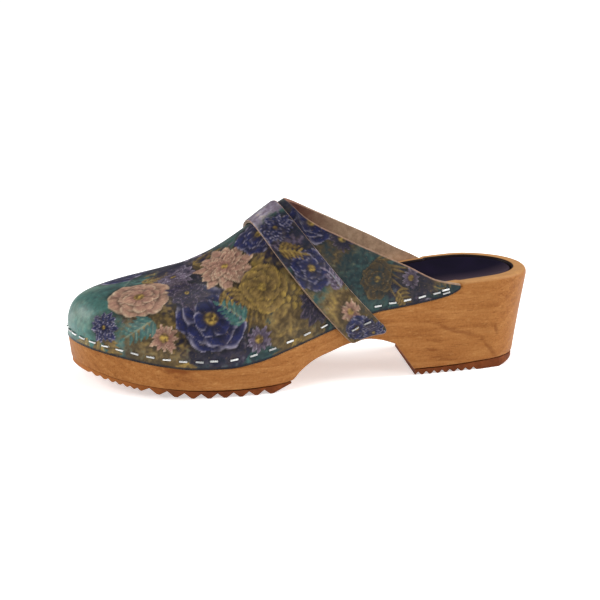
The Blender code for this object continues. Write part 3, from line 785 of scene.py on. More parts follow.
def leaf(art, patch, start, angle, length, width, tone, strength):
    """A pointed leaf with a midrib, its two halves of different lightness."""
    a, b = patch.a - start[0], patch.b - start[1]
    out = (a * math.cos(angle) + b * math.sin(angle)) / length
    across = (b * math.cos(angle) - a * math.sin(angle)) / width
    across = across - 0.35 * np.sin(math.pi * np.clip(out, 0, 1))
    inside = np.sin(math.pi * np.clip(out, 0, 1) ** 0.8) - np.abs(across)
    inside = np.where((out <= 0) | (out >= 1), -1.0, inside)
    ribs = 0.5 + 0.5 * np.sin(out * 26 - np.abs(across) * 5)
    blot = grain(2.2, a, b, angle)
    colour = mixed(tone.base, tone.body, 0.4 + 0.3 * np.sign(across) + 0.2 * ribs + 0.6 * (blot - 0.5))
    rib = smooth(0.14, 0.03, np.abs(across)) * smooth(1.0, 0.6, out)
    art.lay(patch.near, mixed(colour, tone.rim, 0.6 * rib), strength * smooth(0.0, 0.12, inside))


def sprig(art, patch, size, tone, pairs=5, lean=0.9, strength=0.95):
    """A curved stem with leaves in pairs that get shorter towards its tip."""
    near, a, b = patch
    bend = 0.5 * (art.chance.random() - 0.5)
    for i in range(pairs + 1):
        t = i / pairs
        foot = (size * t * STEM, size * bend * t * t)
        heading = 2 * bend * t
        long = size * (0.5 - 0.24 * t)
        for turn in (0,) if i == pairs else (1, -1):
            leaf(art, patch, foot, heading + turn * lean, long, long * 0.2, tone, strength)
    stem = np.abs(b - size * bend * (a / (size * STEM)) ** 2)
    art.lay(near, tone.rim, 0.55 * smooth(0.5, 0.2, stem) * (a > 0) * (a < size * 0.9))


def blades(art, patch, size, tone):
    """A tuft of thin curved grass blades from one root."""
    for spread in np.linspace(-0.75, 0.75, 9):
        angle = spread + 0.15 * (art.chance.random() - 0.5)
        long = size * (0.7 + 0.3 * art.chance.random())
        leaf(art, patch, (0, 0), angle, long, size * 0.035, tone, 0.8)


def mottle(art, patch, size, tone):
    """A worn, lichen-like patch with a ragged edge."""
    near, a, b = patch
    fine = clouds(art.points[near], (0.3, 40, 6), (0.35, 80, 2.4), (0.35, 120, 1.2))
    amount = smooth(1.15, 0.6, np.hypot(a, b) / size + 1.5 * (fine - 0.5))
    art.lay(near, mixed(tone.base, tone.body, 3.4 * (fine - 0.36)), 0.9 * amount)
    art.lay(near, tone.rim, 0.5 * smooth(0.6, 0.72, fine) * amount)


def berries(art, patch, size, tone, count=9):
    """A loose cluster of round buds with light on one side."""
    near, a, b = patch
    for k in range(count):
        angle, far = 2.4 * k + art.chance.random(), size * 0.8 * math.sqrt((k + 0.5) / count)
        bud = size * (0.2 + 0.07 * art.chance.random())
        da, db = a - far * math.cos(angle), b - far * math.sin(angle)
        reach = np.hypot(da, db) / bud
        art.shade(near, 0.4 * smooth(1.5, 0.9, reach))
        colour = mixed(tone.base, tone.rim, 0.5 + 0.6 * (db - 0.4 * da) / bud)
        art.lay(near, colour, smooth(1.0, 0.8, reach))


Bloom = namedtuple("Bloom", "rings petals width blunt heart")
BLOOMS = {
    "rose": Bloom((1.0, 0.74, 0.5), 5, 0.58, True, 0.16),
    "dahlia": Bloom((1.0, 0.8, 0.6, 0.4), 11, 0.24, False, 0.1),
    "daisy": Bloom((1.0,), 12, 0.2, False, 0.28),
}
Maker = namedtuple("Maker", "maker reach")
MAKERS = {
    "mottle": Maker(mottle, 1.5),
    "sprig": Maker(sprig, 1.35),
    "blades": Maker(blades, 1.2),
    "berries": Maker(berries, 1.2),
}
for kind in BLOOMS:
    MAKERS[kind] = Maker(partial(blossom, bloom=BLOOMS[kind]), 1.3)

UPPER_MOTIF = "kind tone x height size turn"
UPPER_MOTIFS = {
    OUTER: table(
        UPPER_MOTIF,
        ("mottle", "gold", 222, 0.3, 26, 0), ("mottle", "dusk", 190, 0.2, 24, 0),
        ("mottle", "dusk", 205, 0.8, 26, 0), ("mottle", "gold", 165, 0.55, 30, 0),
        ("mottle", "gold", 150, 0.15, 24, 0), ("mottle", "dusk", 148, 0.8, 26, 0),
        ("mottle", "bronze", 124, 0.5, 20, 0), ("mottle", "teal", 98, 0.25, 22, 0),
        ("mottle", "dusk", 80, 0.1, 16, 0), ("sprig", "gold", 252, 0.12, 26, 2.2),
        ("blades", "sea", 232, 0.02, 34, 1.5), ("sprig", "sea", 224, 0.98, 34, 0.6),
        ("sprig", "gold", 210, 0.05, 36, 1.1), ("sprig", "gold", 196, 0.95, 34, 2.7),
        ("sprig", "teal", 178, 0.05, 40, 2.2), ("blades", "gold", 170, 0.5, 34, 0.6),
        ("sprig", "gold", 150, 0.05, 40, 1.5), ("sprig", "sea", 140, 0.75, 32, 3.0),
        ("sprig", "teal", 128, 0.12, 34, 2.0), ("blades", "gold", 104, 0.3, 30, 2.6),
        ("sprig", "teal", 92, 0.03, 26, 1.5), ("sprig", "mauve", 70, 0.02, 18, 1.2),
        ("dahlia", "mauve", 216, 0.86, 15, 0.2), ("sprig", "mauve", 252, 0.75, 22, 2.5),
        ("blades", "gold", 256, 0.1, 22, 1.2), ("rose", "blush", 238, 0.6, 18, 0.4),
        ("dahlia", "navy", 250, 0.24, 10, 0.4), ("daisy", "blush", 222, 0.22, 9, 1.0),
        ("rose", "navy", 196, 0.36, 22, 0.1), ("dahlia", "dusk", 208, 0.6, 12, 0.1),
        ("dahlia", "blush", 181, 0.76, 19, 0.8), ("rose", "gold", 166, 0.47, 15, 0.5),
        ("rose", "navy", 160, 0.86, 14, 0.9), ("daisy", "mauve", 171, 0.15, 8, 0.3),
        ("berries", "gold", 150, 0.32, 8, 0.9), ("rose", "navy", 134, 0.7, 14, 0.3),
        ("dahlia", "dusk", 136, 0.2, 13, 0.9), ("daisy", "dusk", 119, 0.52, 8, 0.2),
        ("rose", "bronze", 100, 0.2, 11, 0.2), ("daisy", "mauve", 80, 0.16, 6, 0.5),
        ("sprig", "sea", 228, 0.35, 20, 0.7), ("sprig", "gold", 186, 0.55, 20, 1.9),
        ("sprig", "sea", 178, 0.3, 18, 5.2), ("blades", "teal", 112, 0.18, 20, 0.9),
        ("sprig", "gold", 88, 0.1, 14, 2.2), ("sprig", "gold", 243, 0.9, 16, 3.4),
    ),
    INNER: table(
        UPPER_MOTIF,
        ("mottle", "gold", 226, 0.3, 26, 0), ("mottle", "dusk", 198, 0.7, 28, 0),
        ("mottle", "gold", 172, 0.3, 28, 0), ("mottle", "dusk", 146, 0.6, 28, 0),
        ("mottle", "gold", 112, 0.3, 24, 0), ("sprig", "gold", 248, 0.15, 28, 2.2),
        ("sprig", "sea", 214, 0.05, 36, 1.4), ("blades", "gold", 190, 0.1, 36, 1.6),
        ("sprig", "teal", 170, 0.05, 38, 2.2), ("sprig", "gold", 150, 0.1, 36, 1.6),
        ("sprig", "sea", 112, 0.1, 32, 2.2), ("sprig", "sea", 80, 0.05, 20, 1.6),
        ("rose", "navy", 234, 0.55, 20, 0.9), ("rose", "blush", 206, 0.4, 21, 0.3),
        ("dahlia", "mauve", 190, 0.72, 17, 0.2), ("daisy", "blush", 186, 0.18, 9, 0.2),
        ("rose", "navy", 160, 0.42, 20, 0.6), ("dahlia", "mauve", 140, 0.72, 16, 0.1),
        ("rose", "blush", 126, 0.3, 15, 0.1), ("dahlia", "dusk", 98, 0.26, 12, 0.7),
        ("daisy", "blush", 78, 0.16, 7, 0.5),
    ),
}


# The upper

UPPER_COLUMNS = 350     # on each side
UPPER_ROWS = 108
LINING_ROWS = 14
COLUMN_SAMPLES = 3000
TOE_SPAN = 20.0         # the stretch behind the tip where columns follow the toe's curve closely
PEAK_CLEAR = 0.35
COLLAR_STEPS = (0.06, 0.2, 0.45, 0.8, 1.3, 1.9)
BEHIND_STATIONS = 60
UPPER_SEED = 5
TOE_WASH = (215, 255)   # x over which the ground gets paler towards the toe
SPRIG_XS, SPRIG_HEIGHTS = range(58, 256, 11), (0.15, 0.5, 0.85)
SPRIG_TONES = ("teal", "teal", "sea", "gold", "mauve")
WING_SHADE = 0.35       # how much darker the print is on the wings
WING_SPAN = (190, 120)  # x over which it gets darker
LINING_TONE = 0.2       # fills the print's layer on the lining, which doesn't show it
STAPLE_DENT, DENT_REACH = 0.28, 2.6
CREASES = table(
    "side x height turn length width depth",
    (OUTER, 190, 0.62, 1.9, 30, 5.5, 0.16),
    (OUTER, 178, 0.5, 2.0, 30, 5.0, 0.16),
    (OUTER, 160, 0.25, 1.4, 24, 4.0, 0.14),
    (INNER, 190, 0.62, 1.2, 30, 5.5, 0.16),
    (INNER, 178, 0.5, 1.1, 28, 5.0, 0.16),
)


def upper_columns():
    """(side, x, foot) of each column, from the outer wing's end round the toe to the inner one's."""
    toe = LENGTH - TOE_SPAN * np.linspace(1, 0, COLUMN_SAMPLES) ** 2
    fine = np.concatenate([np.linspace(RABBET_FULL, LENGTH - TOE_SPAN, COLUMN_SAMPLES), toe])
    line = np.column_stack([fine, outline(OUTER, fine), fine * 0])
    xs = evenly(line, UPPER_COLUMNS)[:, 0]
    xs = np.concatenate([xs[np.abs(xs - PEAK) > PEAK_CLEAR], [PEAK], PEAK - np.array(COLLAR_STEPS)])
    xs = np.unique(np.round(np.clip(xs, RABBET_FULL, LENGTH), 5))
    behind = np.linspace(0, RABBET_FULL, BEHIND_STATIONS)[:-1]
    loop = Loop(np.concatenate([behind, xs]))
    feet = loop.inset(-PROUD)
    kept = loop.x >= RABBET_FULL - CLOSE
    return list(zip(loop.side[kept], loop.x[kept], feet[kept]))


def dents(points, places):
    """How far the leather is pulled in under each staple."""
    depth = np.zeros(len(points))
    for centre, along, _ in places:
        along = unit(along)
        away = points - centre
        run = np.clip(np.abs(away @ along) - STAPLE_LENGTH / 2, 0, None)
        side = away - np.outer(away @ along, along)
        reach = np.sqrt(run**2 + (side**2).sum(1))
        depth = np.maximum(depth, STAPLE_DENT * np.exp(-((reach / DENT_REACH) ** 2)))
    return depth


def creases(points, normals):
    """Soft troughs where the vamp bends, each with a low ridge on either side."""
    depth = np.zeros(len(points))
    for row in CREASES:
        spot = upper_spot(row.side, row.x, row.height, row.turn)
        away = points - spot.centre
        run, off = away @ spot.right, away @ spot.up
        facing = smooth(0.1, 0.5, normals @ spot.normal)
        fade = np.exp(-((run / (row.length / 2)) ** 2)) * facing
        wave = (1 - 2 * (off / row.width) ** 2) * np.exp(-((off / row.width) ** 2))
        depth += row.depth * fade * wave
    return depth


def upper_print(points, normals, below, above):
    """The upper's colours. below and above are each point's distances from its lower edge and its collar."""
    art = Print(points, normals, UPPER_SEED)
    art.ground(smooth(*TOE_WASH, points[:, 0]))
    spots = [
        upper_spot(side, x, height, art.turn())
        for x in SPRIG_XS for side in SIDES for height in SPRIG_HEIGHTS
    ]
    art.scatter(spots, SPRIG_TONES)
    for side, motifs in UPPER_MOTIFS.items():
        for row in motifs:
            art.draw(upper_spot(side, row.x, row.height, row.turn), row.kind, row.size, row.tone)
    art.finish(1 - WING_SHADE * smooth(*WING_SPAN, points[:, 0]))
    art.edges(below, above, COLLAR_EDGE)
    return art.rgb


def upper(leather, lining, raw_edge, places):
    """The printed skin, a plainer lining inside it, and cut edges between the two."""
    columns = upper_columns()
    count = len(columns)
    grid = np.array([evenly(section(side, x, foot), UPPER_ROWS) for side, x, foot in columns])
    points, faces, index, first = weld(grid.reshape(-1, 3), grid_faces(count, UPPER_ROWS))
    faces, normals, turned = facing_out(points, faces)
    open_top = np.array([x < PEAK for _, x, _ in columns])
    below = run_lengths(grid, 1)
    above = np.where(open_top[:, None], below[:, -1:] - below, FAR)
    colours = upper_print(points, normals, below.ravel()[first], above.ravel()[first])
    skin = points - normals * (dents(points, places) + creases(points, normals))[:, None]
    index = index.reshape(count, UPPER_ROWS)
    picked = index[:, np.round(np.linspace(0, UPPER_ROWS - 1, LINING_ROWS)).astype(int)]
    inner = points[picked] - LEATHER * normals[picked]
    inner[..., 2] = np.maximum(inner[..., 2], ledge(inner[..., 0]) + GAP)
    base = len(points)
    inner_points, inner_faces, inner_index, _ = weld(inner.reshape(-1, 3), grid_faces(count, LINING_ROWS))
    inner_faces = [[base + i for i in (face if turned else face[::-1])] for face in inner_faces]
    inner_index = base + inner_index.reshape(count, LINING_ROWS)
    edge_faces = []
    for i in range(count - 1):
        for end in (0, -1) if open_top[i] or open_top[i + 1] else (0,):
            outside, inside = index[i:i + 2, end], inner_index[i:i + 2, end]
            edge_faces.append((*outside, *inside[::-1]))
    for i in (0, count - 1):
        edge_faces.append(tuple(index[i]) + tuple(inner_index[i][::-1]))
    edge_faces = [face for face in edge_faces if len(set(face)) == len(face)]
    slots = [0] * len(faces) + [1] * len(inner_faces) + [2] * len(edge_faces)
    colours = np.vstack([colours, np.full((len(inner_points), 3), LINING_TONE)])
    piece = new_piece("upper_leather", np.vstack([skin, inner_points]), faces + inner_faces + edge_faces,
                      [leather, lining, raw_edge], slots, LEATHER_SHARP, colours)
    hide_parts("upper")


# The strap

STRAP_ROWS = 150        # on each side
STRAP_COLUMNS = 36
STRAP_BEVEL, BEVEL_REACH = 0.35, 1.2
EDGE_ROUNDS = 8         # rounds of fitting a strap edge's x to the height that it reaches there
END_SAMPLES = 120
Corner = namedtuple("Corner", "across rise")
FRONT_CORNER, REAR_CORNER = Corner(0.1, 0.03), Corner(0.26, 0.14)
STRAP_SEED = 9
STRAP_WASH = 0.05
STRAP_SPRIG_SHARES, STRAP_SPRIGS_ACROSS = np.linspace(0.05, 0.95, 7), (0.25, 0.75)
STRAP_SPRIG_TONES = ("teal", "mauve", "gold")
STRAP_INK = 0.8         # the strap's print is darker, by this factor
STRAP_MOTIF = "kind tone share across size turn"
STRAP_MOTIFS = {
    OUTER: table(
        STRAP_MOTIF,
        ("mottle", "dusk", 0.8, 0.5, 22, 0), ("mottle", "gold", 0.4, 0.5, 22, 0),
        ("mottle", "bronze", 0.2, 0.5, 16, 0), ("mottle", "gold", 0.53, 0.45, 14, 0),
        ("sprig", "gold", 0.15, 0.5, 22, 1.2), ("sprig", "gold", 0.45, 0.3, 26, 1.9),
        ("sprig", "mauve", 0.9, 0.6, 22, 0.4), ("mottle", "pearl", 0.99, 0.2, 11, 0.3),
        ("mottle", "pearl", 0.99, 0.7, 9, 0.3), ("rose", "navy", 0.68, 0.55, 12, 0.2),
        ("dahlia", "navy", 0.88, 0.45, 11, 0.5), ("daisy", "blush", 0.48, 0.6, 7, 0.2),
        ("rose", "navy", 0.29, 0.4, 8, 0.7), ("dahlia", "navy", 0.06, 0.6, 8, 0.1),
        ("sprig", "gold", 0.8, 0.15, 14, 2.4), ("sprig", "mauve", 0.56, 0.85, 14, 4.4),
    ),
    INNER: table(
        STRAP_MOTIF,
        ("mottle", "gold", 0.7, 0.5, 22, 0), ("mottle", "dusk", 0.3, 0.5, 20, 0),
        ("sprig", "sea", 0.3, 0.5, 24, 1.2), ("rose", "blush", 0.8, 0.5, 12, 0.4),
        ("rose", "navy", 0.45, 0.4, 12, 0.9), ("dahlia", "mauve", 0.12, 0.5, 9, 0.2),
    ),
}


def strap_edge(side, share, edge):
    """(x, height) on one of the strap's edges: share is 0 at the strap's end and 1 on the ridge."""
    height = -edge.end + (1 + edge.end) * share
    x = edge.low + (edge.top - edge.low) * max(height, 0.0)
    low, top = bottom(max(edge.low, BREAST_TOP)), ridge_height(edge.top)
    for _ in range(EDGE_ROUNDS):
        fall = np.clip((top - jacket(side, x, height)[2]) / (top - low), 0, 1)
        x = edge.low + (edge.top - edge.low) * (1 - fall**edge.sweep)
    return x, height


def strap_ends(side, share):
    return np.array([strap_edge(side, share, edge) for edge in (STRAP_FRONT, STRAP_REAR)])


def strap_point(side, share, across):
    front, rear = strap_ends(side, share)
    x, height = front + (rear - front) * across
    return jacket(side, x, height)


def strap_grid(runs, widths):
    """The shoe's outside under the strap, row by row, with rounded corners at both of the strap's ends."""
    shares = np.linspace(0, 1, END_SAMPLES)
    ends = {side: np.array([strap_ends(side, share) for share in shares]) for side in SIDES}
    lift = np.zeros(len(widths))
    for corner, inward in ((FRONT_CORNER, widths), (REAR_CORNER, 1 - widths)):
        near = np.clip((corner.across - inward) / corner.across, 0, 1)
        lift += corner.rise * (1 - np.sqrt(1 - near**2))
    grid = []
    for side, share in runs:
        row = []
        for width, up in zip(widths, lift):
            here = up + (1 - up) * share
            front, rear = (
                np.array([np.interp(here, shares, ends[side][:, edge, k]) for k in range(2)])
                for edge in range(2)
            )
            row.append(jacket(side, *(front * (1 - width) + rear * width)))
        grid.append(row)
    return np.array(grid)


def strap_print(points, normals, border):
    """The strap's colours. border is each point's distance from the strap's edge."""
    art = Print(points, normals, STRAP_SEED)
    art.ground(np.full(len(points), STRAP_WASH))
    spots = [
        strap_spot(side, share, across, art.turn())
        for side in SIDES for share in STRAP_SPRIG_SHARES for across in STRAP_SPRIGS_ACROSS
    ]
    art.scatter(spots, STRAP_SPRIG_TONES)
    for side, motifs in STRAP_MOTIFS.items():
        for row in motifs:
            art.draw(strap_spot(side, row.share, row.across, row.turn), row.kind, row.size, row.tone)
    art.finish(STRAP_INK)
    art.edges(np.full(len(points), FAR), border, STRAP_EDGE)
    return art.rgb


def strap(leather, raw_edge, places):
    """A closed band over the upper, its top printed, with bevelled borders and dents under its staples."""
    even = np.linspace(0, 1, STRAP_COLUMNS)
    widths = 0.5 * (0.5 * (1 - np.cos(np.linspace(0, math.pi, STRAP_COLUMNS)))) + 0.5 * even
    rise = np.linspace(0, 1, STRAP_ROWS)
    runs = [(OUTER, share) for share in rise] + [(INNER, share) for share in rise[-2::-1]]
    grid = strap_grid(runs, widths)
    base = grid.reshape(-1, 3)
    faces, normals, _ = facing_out(base, grid_faces(len(runs), STRAP_COLUMNS))
    across, along = run_lengths(grid, 1), run_lengths(grid, 0)
    border = np.minimum(across, across[:, -1:] - across)
    border = np.minimum(border, np.minimum(along, along[-1] - along)).ravel()
    bevel = STRAP_BEVEL * smooth(BEVEL_REACH, 0.0, border)
    top = base + normals * (STRAP_LIFT + STRAP_THICKNESS - bevel)[:, None]
    top = top - normals * dents(top, places)[:, None]
    under = base + normals * STRAP_LIFT
    colours = strap_print(base, normals, border)
    size = len(base)
    index = np.arange(size).reshape(len(runs), STRAP_COLUMNS)
    low_faces = [[i + size for i in face[::-1]] for face in faces]
    rim_run = np.concatenate([index[0], index[1:, -1], index[-1, -2::-1], index[-2:0:-1, 0]])
    edge_faces = [(i, j, j + size, i + size) for i, j in zip(rim_run, np.roll(rim_run, -1))]
    slots = [0] * len(faces) + [1] * (len(low_faces) + len(edge_faces))
    piece = new_piece("strap_leather", np.vstack([top, under]), faces + low_faces + edge_faces,
                      [leather, raw_edge], slots, LEATHER_SHARP, np.vstack([colours, colours]))
    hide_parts("strap")


# Materials

MIX_FACTOR, MIX_FIRST, MIX_SECOND, MIX_RESULT = 0, 6, 7, 2      # a Mix node's sockets for colours
PEAK_SHADE_SPAN = (-0.03, -0.002)          # metres ahead, over which the painted red-brown shade towards the collar's peak sets in
TOE_RUBBER_LIGHT_SPAN = (0.08, 0.124)     # metres ahead, over which the rubber gets paler: painted light on the toe
INSOLE_SPAN = (-0.004, 0.018)       # metres outward, over which the insole gets paler
MARK_SPREAD, MARK_RAGGED = 0.02, 0.004
WOOD_MARKS = table(
    "side x z length width slope depth",
    (OUTER, 52, 24, 40, 1.8, 0.35, 0.5),
    (OUTER, 31, 12, 26, 1.8, 0.9, 0.45),
    (OUTER, 27.5, 22.5, 10, 1.4, 1.3, 0.5),
    (OUTER, 66.5, 14, 9, 1.2, 0.1, 0.55),
    (OUTER, 120, 33, 26, 1.6, -0.1, 0.35),
    (OUTER, 214, 16, 19, 2.6, 0.12, 0.75),
    (INNER, 55, 24, 44, 1.8, -0.5, 0.45),
    (INNER, 30, 14, 12, 1.6, 0.3, 0.5),
    (INNER, 190, 14, 20, 2.2, 0.1, 0.6),
)


def rgb(*colour):
    return tuple(float(c) for c in linear(colour))


def grey(value):
    return (value, value, value)


class Tree:
    """A material's nodes, added and joined by name."""

    def __init__(self, name):
        self.material = bpy.data.materials.new(name)
        self.material.use_nodes = True
        self.nodes = self.material.node_tree.nodes
        self.shader = self.nodes["Principled BSDF"]
        self.place = self.add("ShaderNodeTexCoord").outputs["Object"]

    def add(self, kind, inputs=None, **settings):
        node = self.nodes.new(kind)
        for key, value in settings.items():
            setattr(node, key, value)
        for key, value in (inputs or {}).items():
            self.set(node.inputs[key], value)
        return node

    def set(self, socket, value):
        if isinstance(value, bpy.types.NodeSocket):
            self.material.node_tree.links.new(value, socket)
        else:
            socket.default_value = value

    def axis(self, letter):
        """One coordinate of the place on the shoe, in metres."""
        return self.add("ShaderNodeSeparateXYZ", {0: self.place}).outputs[letter]

    def painted(self, output="Color"):
        """What new_piece stored at each point."""
        return self.add("ShaderNodeAttribute", attribute_name="print").outputs[output]

    def scaled(self, scale, rotation=(0, 0, 0)):
        inputs = {"Vector": self.place, "Scale": scale, "Rotation": rotation}
        return self.add("ShaderNodeMapping", inputs).outputs["Vector"]

    def noise(self, scale, detail=3.0, roughness=0.55, vector=None):
        inputs = {"Vector": vector or self.place, "Scale": scale, "Detail": detail, "Roughness": roughness}
        return self.add("ShaderNodeTexNoise", inputs).outputs["Fac"]

    def cells(self, scale):
        inputs = {"Vector": self.place, "Scale": scale}
        return self.add("ShaderNodeTexVoronoi", inputs).outputs["Distance"]

    def ramp(self, value, *stops):
        node = self.add("ShaderNodeValToRGB", {"Fac": value})
        elements = node.color_ramp.elements
        while len(elements) < len(stops):
            elements.new(0.5)
        for element, (position, colour) in zip(elements, stops):
            element.position = position
            element.color = (*colour, 1)
        return node.outputs["Color"]

    def curve(self, value, low, high, start, end):
        inputs = {"Value": value, "From Min": low, "From Max": high, "To Min": start, "To Max": end}
        return self.add("ShaderNodeMapRange", inputs).outputs["Result"]

    def mix(self, factor, first, second, blend="MIX"):
        inputs = {MIX_FACTOR: factor, MIX_FIRST: first, MIX_SECOND: second}
        node = self.add("ShaderNodeMix", inputs, data_type="RGBA", blend_type=blend)
        return node.outputs[MIX_RESULT]

    def tint(self, colour, amount, *ink):
        return self.mix(amount, colour, (*rgb(*ink), 1))

    def math(self, operation, first, second=0.0):
        return self.add("ShaderNodeMath", {0: first, 1: second}, operation=operation).outputs[0]

    def vector(self, operation, first, second):
        return self.add("ShaderNodeVectorMath", {0: first, 1: second}, operation=operation).outputs["Vector"]

    def length(self, vector):
        return self.add("ShaderNodeVectorMath", {0: vector}, operation="LENGTH").outputs["Value"]

    def bump(self, height, strength, distance, normal=None):
        inputs = {"Height": height, "Strength": strength, "Distance": distance}
        if normal is not None:
            inputs["Normal"] = normal
        return self.add("ShaderNodeBump", inputs).outputs["Normal"]

    def surface(self, **values):
        for key, value in values.items():
            self.set(self.shader.inputs[key.replace("_", " ")], value)
        return self.material


def printed_leather():
    tree = Tree("printed leather")
    worn = tree.ramp(tree.noise(420.0, 4.0, 0.65), (0.32, grey(0.6)), (0.66, grey(1.0)))
    colour = tree.mix(1.0, tree.painted(), worn, "MULTIPLY")
    flecks = tree.curve(tree.noise(620.0, 6.0, 0.75), 0.58, 0.72, 0.0, 0.3)
    colour = tree.tint(colour, flecks, 150, 128, 96)
    # brown stains in patches placed by noise
    darkening = tree.curve(tree.noise(150.0, 5.0, 0.7), 0.5, 0.7, 0.0, 0.35)
    colour = tree.tint(colour, darkening, 70, 58, 44)
    normal = tree.bump(tree.noise(260.0, 2.0), 0.12, 0.0004)
    normal = tree.bump(tree.cells(1300.0), 0.16, 0.00012, normal)
    rough = tree.curve(tree.noise(160.0, 3.0), 0.3, 0.7, 0.34, 0.48)
    return tree.surface(Base_Color=colour, Roughness=rough, Normal=normal, Specular_IOR_Level=0.24)


def shaded_towards_peak(tree, colour, strength):
    """Painted shade on the leather's flesh side: darker and red-brown towards the collar's peak, deep inside
    the collar.
    """
    return tree.tint(colour, tree.curve(tree.axis("X"), *PEAK_SHADE_SPAN, 0.0, strength), 100, 30, 12)


def lining_leather():
    tree = Tree("lining")
    nap = tree.noise(240.0, 6.0, 0.7)
    colour = tree.ramp(nap, (0.25, rgb(141, 110, 86)), (0.55, rgb(187, 153, 123)), (0.8, rgb(211, 183, 153)))
    # painted shade, darker and redder towards the collar's peak
    colour = shaded_towards_peak(tree, colour, 0.95)
    normal = tree.bump(tree.noise(1500.0, 3.0), 0.35, 0.0002)
    return tree.surface(Base_Color=colour, Roughness=0.92, Normal=normal, Sheen_Weight=0.25)


def raw_leather(name, dark, light, peak_shade):
    tree = Tree(name)
    fibre = tree.noise(1400.0, 5.0, 0.7)
    # painted shade towards the collar's peak, as much as the last argument asks
    colour = shaded_towards_peak(tree, tree.ramp(fibre, (0.3, rgb(*dark)), (0.7, rgb(*light))), peak_shade)
    normal = tree.bump(fibre, 0.4, 0.0002)
    return tree.surface(Base_Color=colour, Roughness=0.88, Normal=normal)


def wood_marks(tree, colour):
    """Growth lines and stains where they lie on the sole's sides, as soft dark streaks."""
    ragged = tree.add("ShaderNodeTexNoise", {"Vector": tree.place, "Scale": 160.0}).outputs["Color"]
    wavy = tree.vector("ADD", tree.place, tree.vector("MULTIPLY", ragged, grey(MARK_RAGGED)))
    for mark in WOOD_MARKS:
        centre = place((mark.x, outline(mark.side, mark.x), mark.z)) + MARK_RAGGED / 2
        inputs = {
            "Vector": wavy,
            "Location": tuple(centre),
            "Rotation": (0, -mark.slope, 0),
            "Scale": (mark.length * MM / 2, MARK_SPREAD, mark.width * MM),
        }
        spot = tree.add("ShaderNodeMapping", inputs, vector_type="TEXTURE").outputs["Vector"]
        colour = tree.tint(colour, tree.curve(tree.length(spot), 0.3, 1.0, mark.depth, 0.0), 104, 52, 18)
    return colour


def carved_wood():
    """Growth rings along the sole, fine streaks and pores, painted light that makes faces turned up paler,
    and painted shade on the recess's wall.
    """
    tree = Tree("carved wood")
    bent = tree.vector("ADD", tree.scaled((1.0, 1.0, 1.0), (0.05, 0.07, 0.0)), (0.0, 0.11, 0.09))
    reach = tree.length(tree.vector("MULTIPLY", bent, (0.12, 1.0, 1.0)))
    warp = tree.math("MULTIPLY", tree.noise(9.0, 2.0), 4.5)
    wave = tree.math("FRACT", tree.math("ADD", tree.math("MULTIPLY", reach, 190.0), warp))
    band = tree.ramp(wave, (0.0, grey(0.3)), (0.55, grey(0.55)), (0.9, grey(0.85)), (1.0, grey(0.32)))
    streak = tree.noise(1.0, 6.0, 0.6, tree.scaled((28.0, 420.0, 520.0)))
    pores = tree.noise(1.0, 2.0, 0.5, tree.scaled((110.0, 1500.0, 1900.0)))
    flecks = tree.noise(1.0, 3.0, 0.6, tree.scaled((260.0, 800.0, 900.0)))
    figure = tree.math("ADD", tree.math("MULTIPLY", band, 0.2), tree.math("MULTIPLY", streak, 0.5))
    figure = tree.math("ADD", figure, tree.math("MULTIPLY", tree.noise(34.0, 3.0), 0.35))
    colour = tree.ramp(figure, (0.3, rgb(124, 73, 33)), (0.5, rgb(152, 98, 50)), (0.75, rgb(174, 121, 69)))
    dark = tree.ramp(pores, (0.28, rgb(150, 104, 70)), (0.4, grey(1.0)))
    colour = tree.mix(0.45, colour, dark, "MULTIPLY")
    specks = tree.ramp(tree.noise(900.0, 5.0, 0.75), (0.34, (0.62, 0.55, 0.48)), (0.6, grey(1.0)))
    colour = tree.mix(0.6, colour, specks, "MULTIPLY")
    colour = tree.tint(colour, tree.curve(flecks, 0.56, 0.72, 0.0, 0.24), 206, 156, 96)
    colour = wood_marks(tree, colour)
    # painted light: faces turned up are made paler, as if lit from above
    facing = tree.add("ShaderNodeNewGeometry").outputs["Normal"]
    upward = tree.add("ShaderNodeSeparateXYZ", {0: facing}).outputs["Z"]
    colour = tree.tint(colour, tree.curve(upward, 0.25, 0.8, 0.0, 0.32), 214, 170, 116)
    # painted shade on the recess's wall, where wood_sole marked it
    colour = tree.tint(colour, tree.painted("Fac"), 24, 12, 16)
    normal = tree.bump(streak, 0.1, 0.0003)
    rough = tree.curve(streak, 0.3, 0.7, 0.42, 0.58)
    return tree.surface(Base_Color=colour, Roughness=rough, Normal=normal, Specular_IOR_Level=0.08)


def brown_rubber():
    tree = Tree("brown rubber")
    dust = tree.noise(180.0, 5.0, 0.65)
    colour = tree.ramp(dust, (0.3, rgb(78, 34, 10)), (0.6, rgb(112, 56, 20)), (0.85, rgb(134, 74, 34)))
    # painted light: the rubber is made paler towards the toe, where light falls on it
    colour = tree.tint(colour, tree.curve(tree.axis("X"), *TOE_RUBBER_LIGHT_SPAN, 0.0, 0.55), 178, 114, 54)
    normal = tree.bump(tree.noise(900.0, 3.0), 0.3, 0.0002)
    return tree.surface(Base_Color=colour, Roughness=0.7, Normal=normal, Specular_IOR_Level=0.15)


def insole_leather():
    tree = Tree("insole leather")
    colour = tree.ramp(tree.noise(60.0, 4.0, 0.6), (0.3, rgb(8, 5, 20)), (0.7, rgb(20, 13, 34)))
    colour = tree.tint(colour, tree.curve(tree.axis("Y"), *INSOLE_SPAN, 0.0, 0.8), 72, 57, 66)
    normal = tree.bump(tree.cells(1100.0), 0.25, 0.00015)
    rough = tree.curve(tree.noise(120.0, 3.0), 0.3, 0.7, 0.55, 0.7)
    return tree.surface(Base_Color=colour, Roughness=rough, Normal=normal, Specular_IOR_Level=0.04)


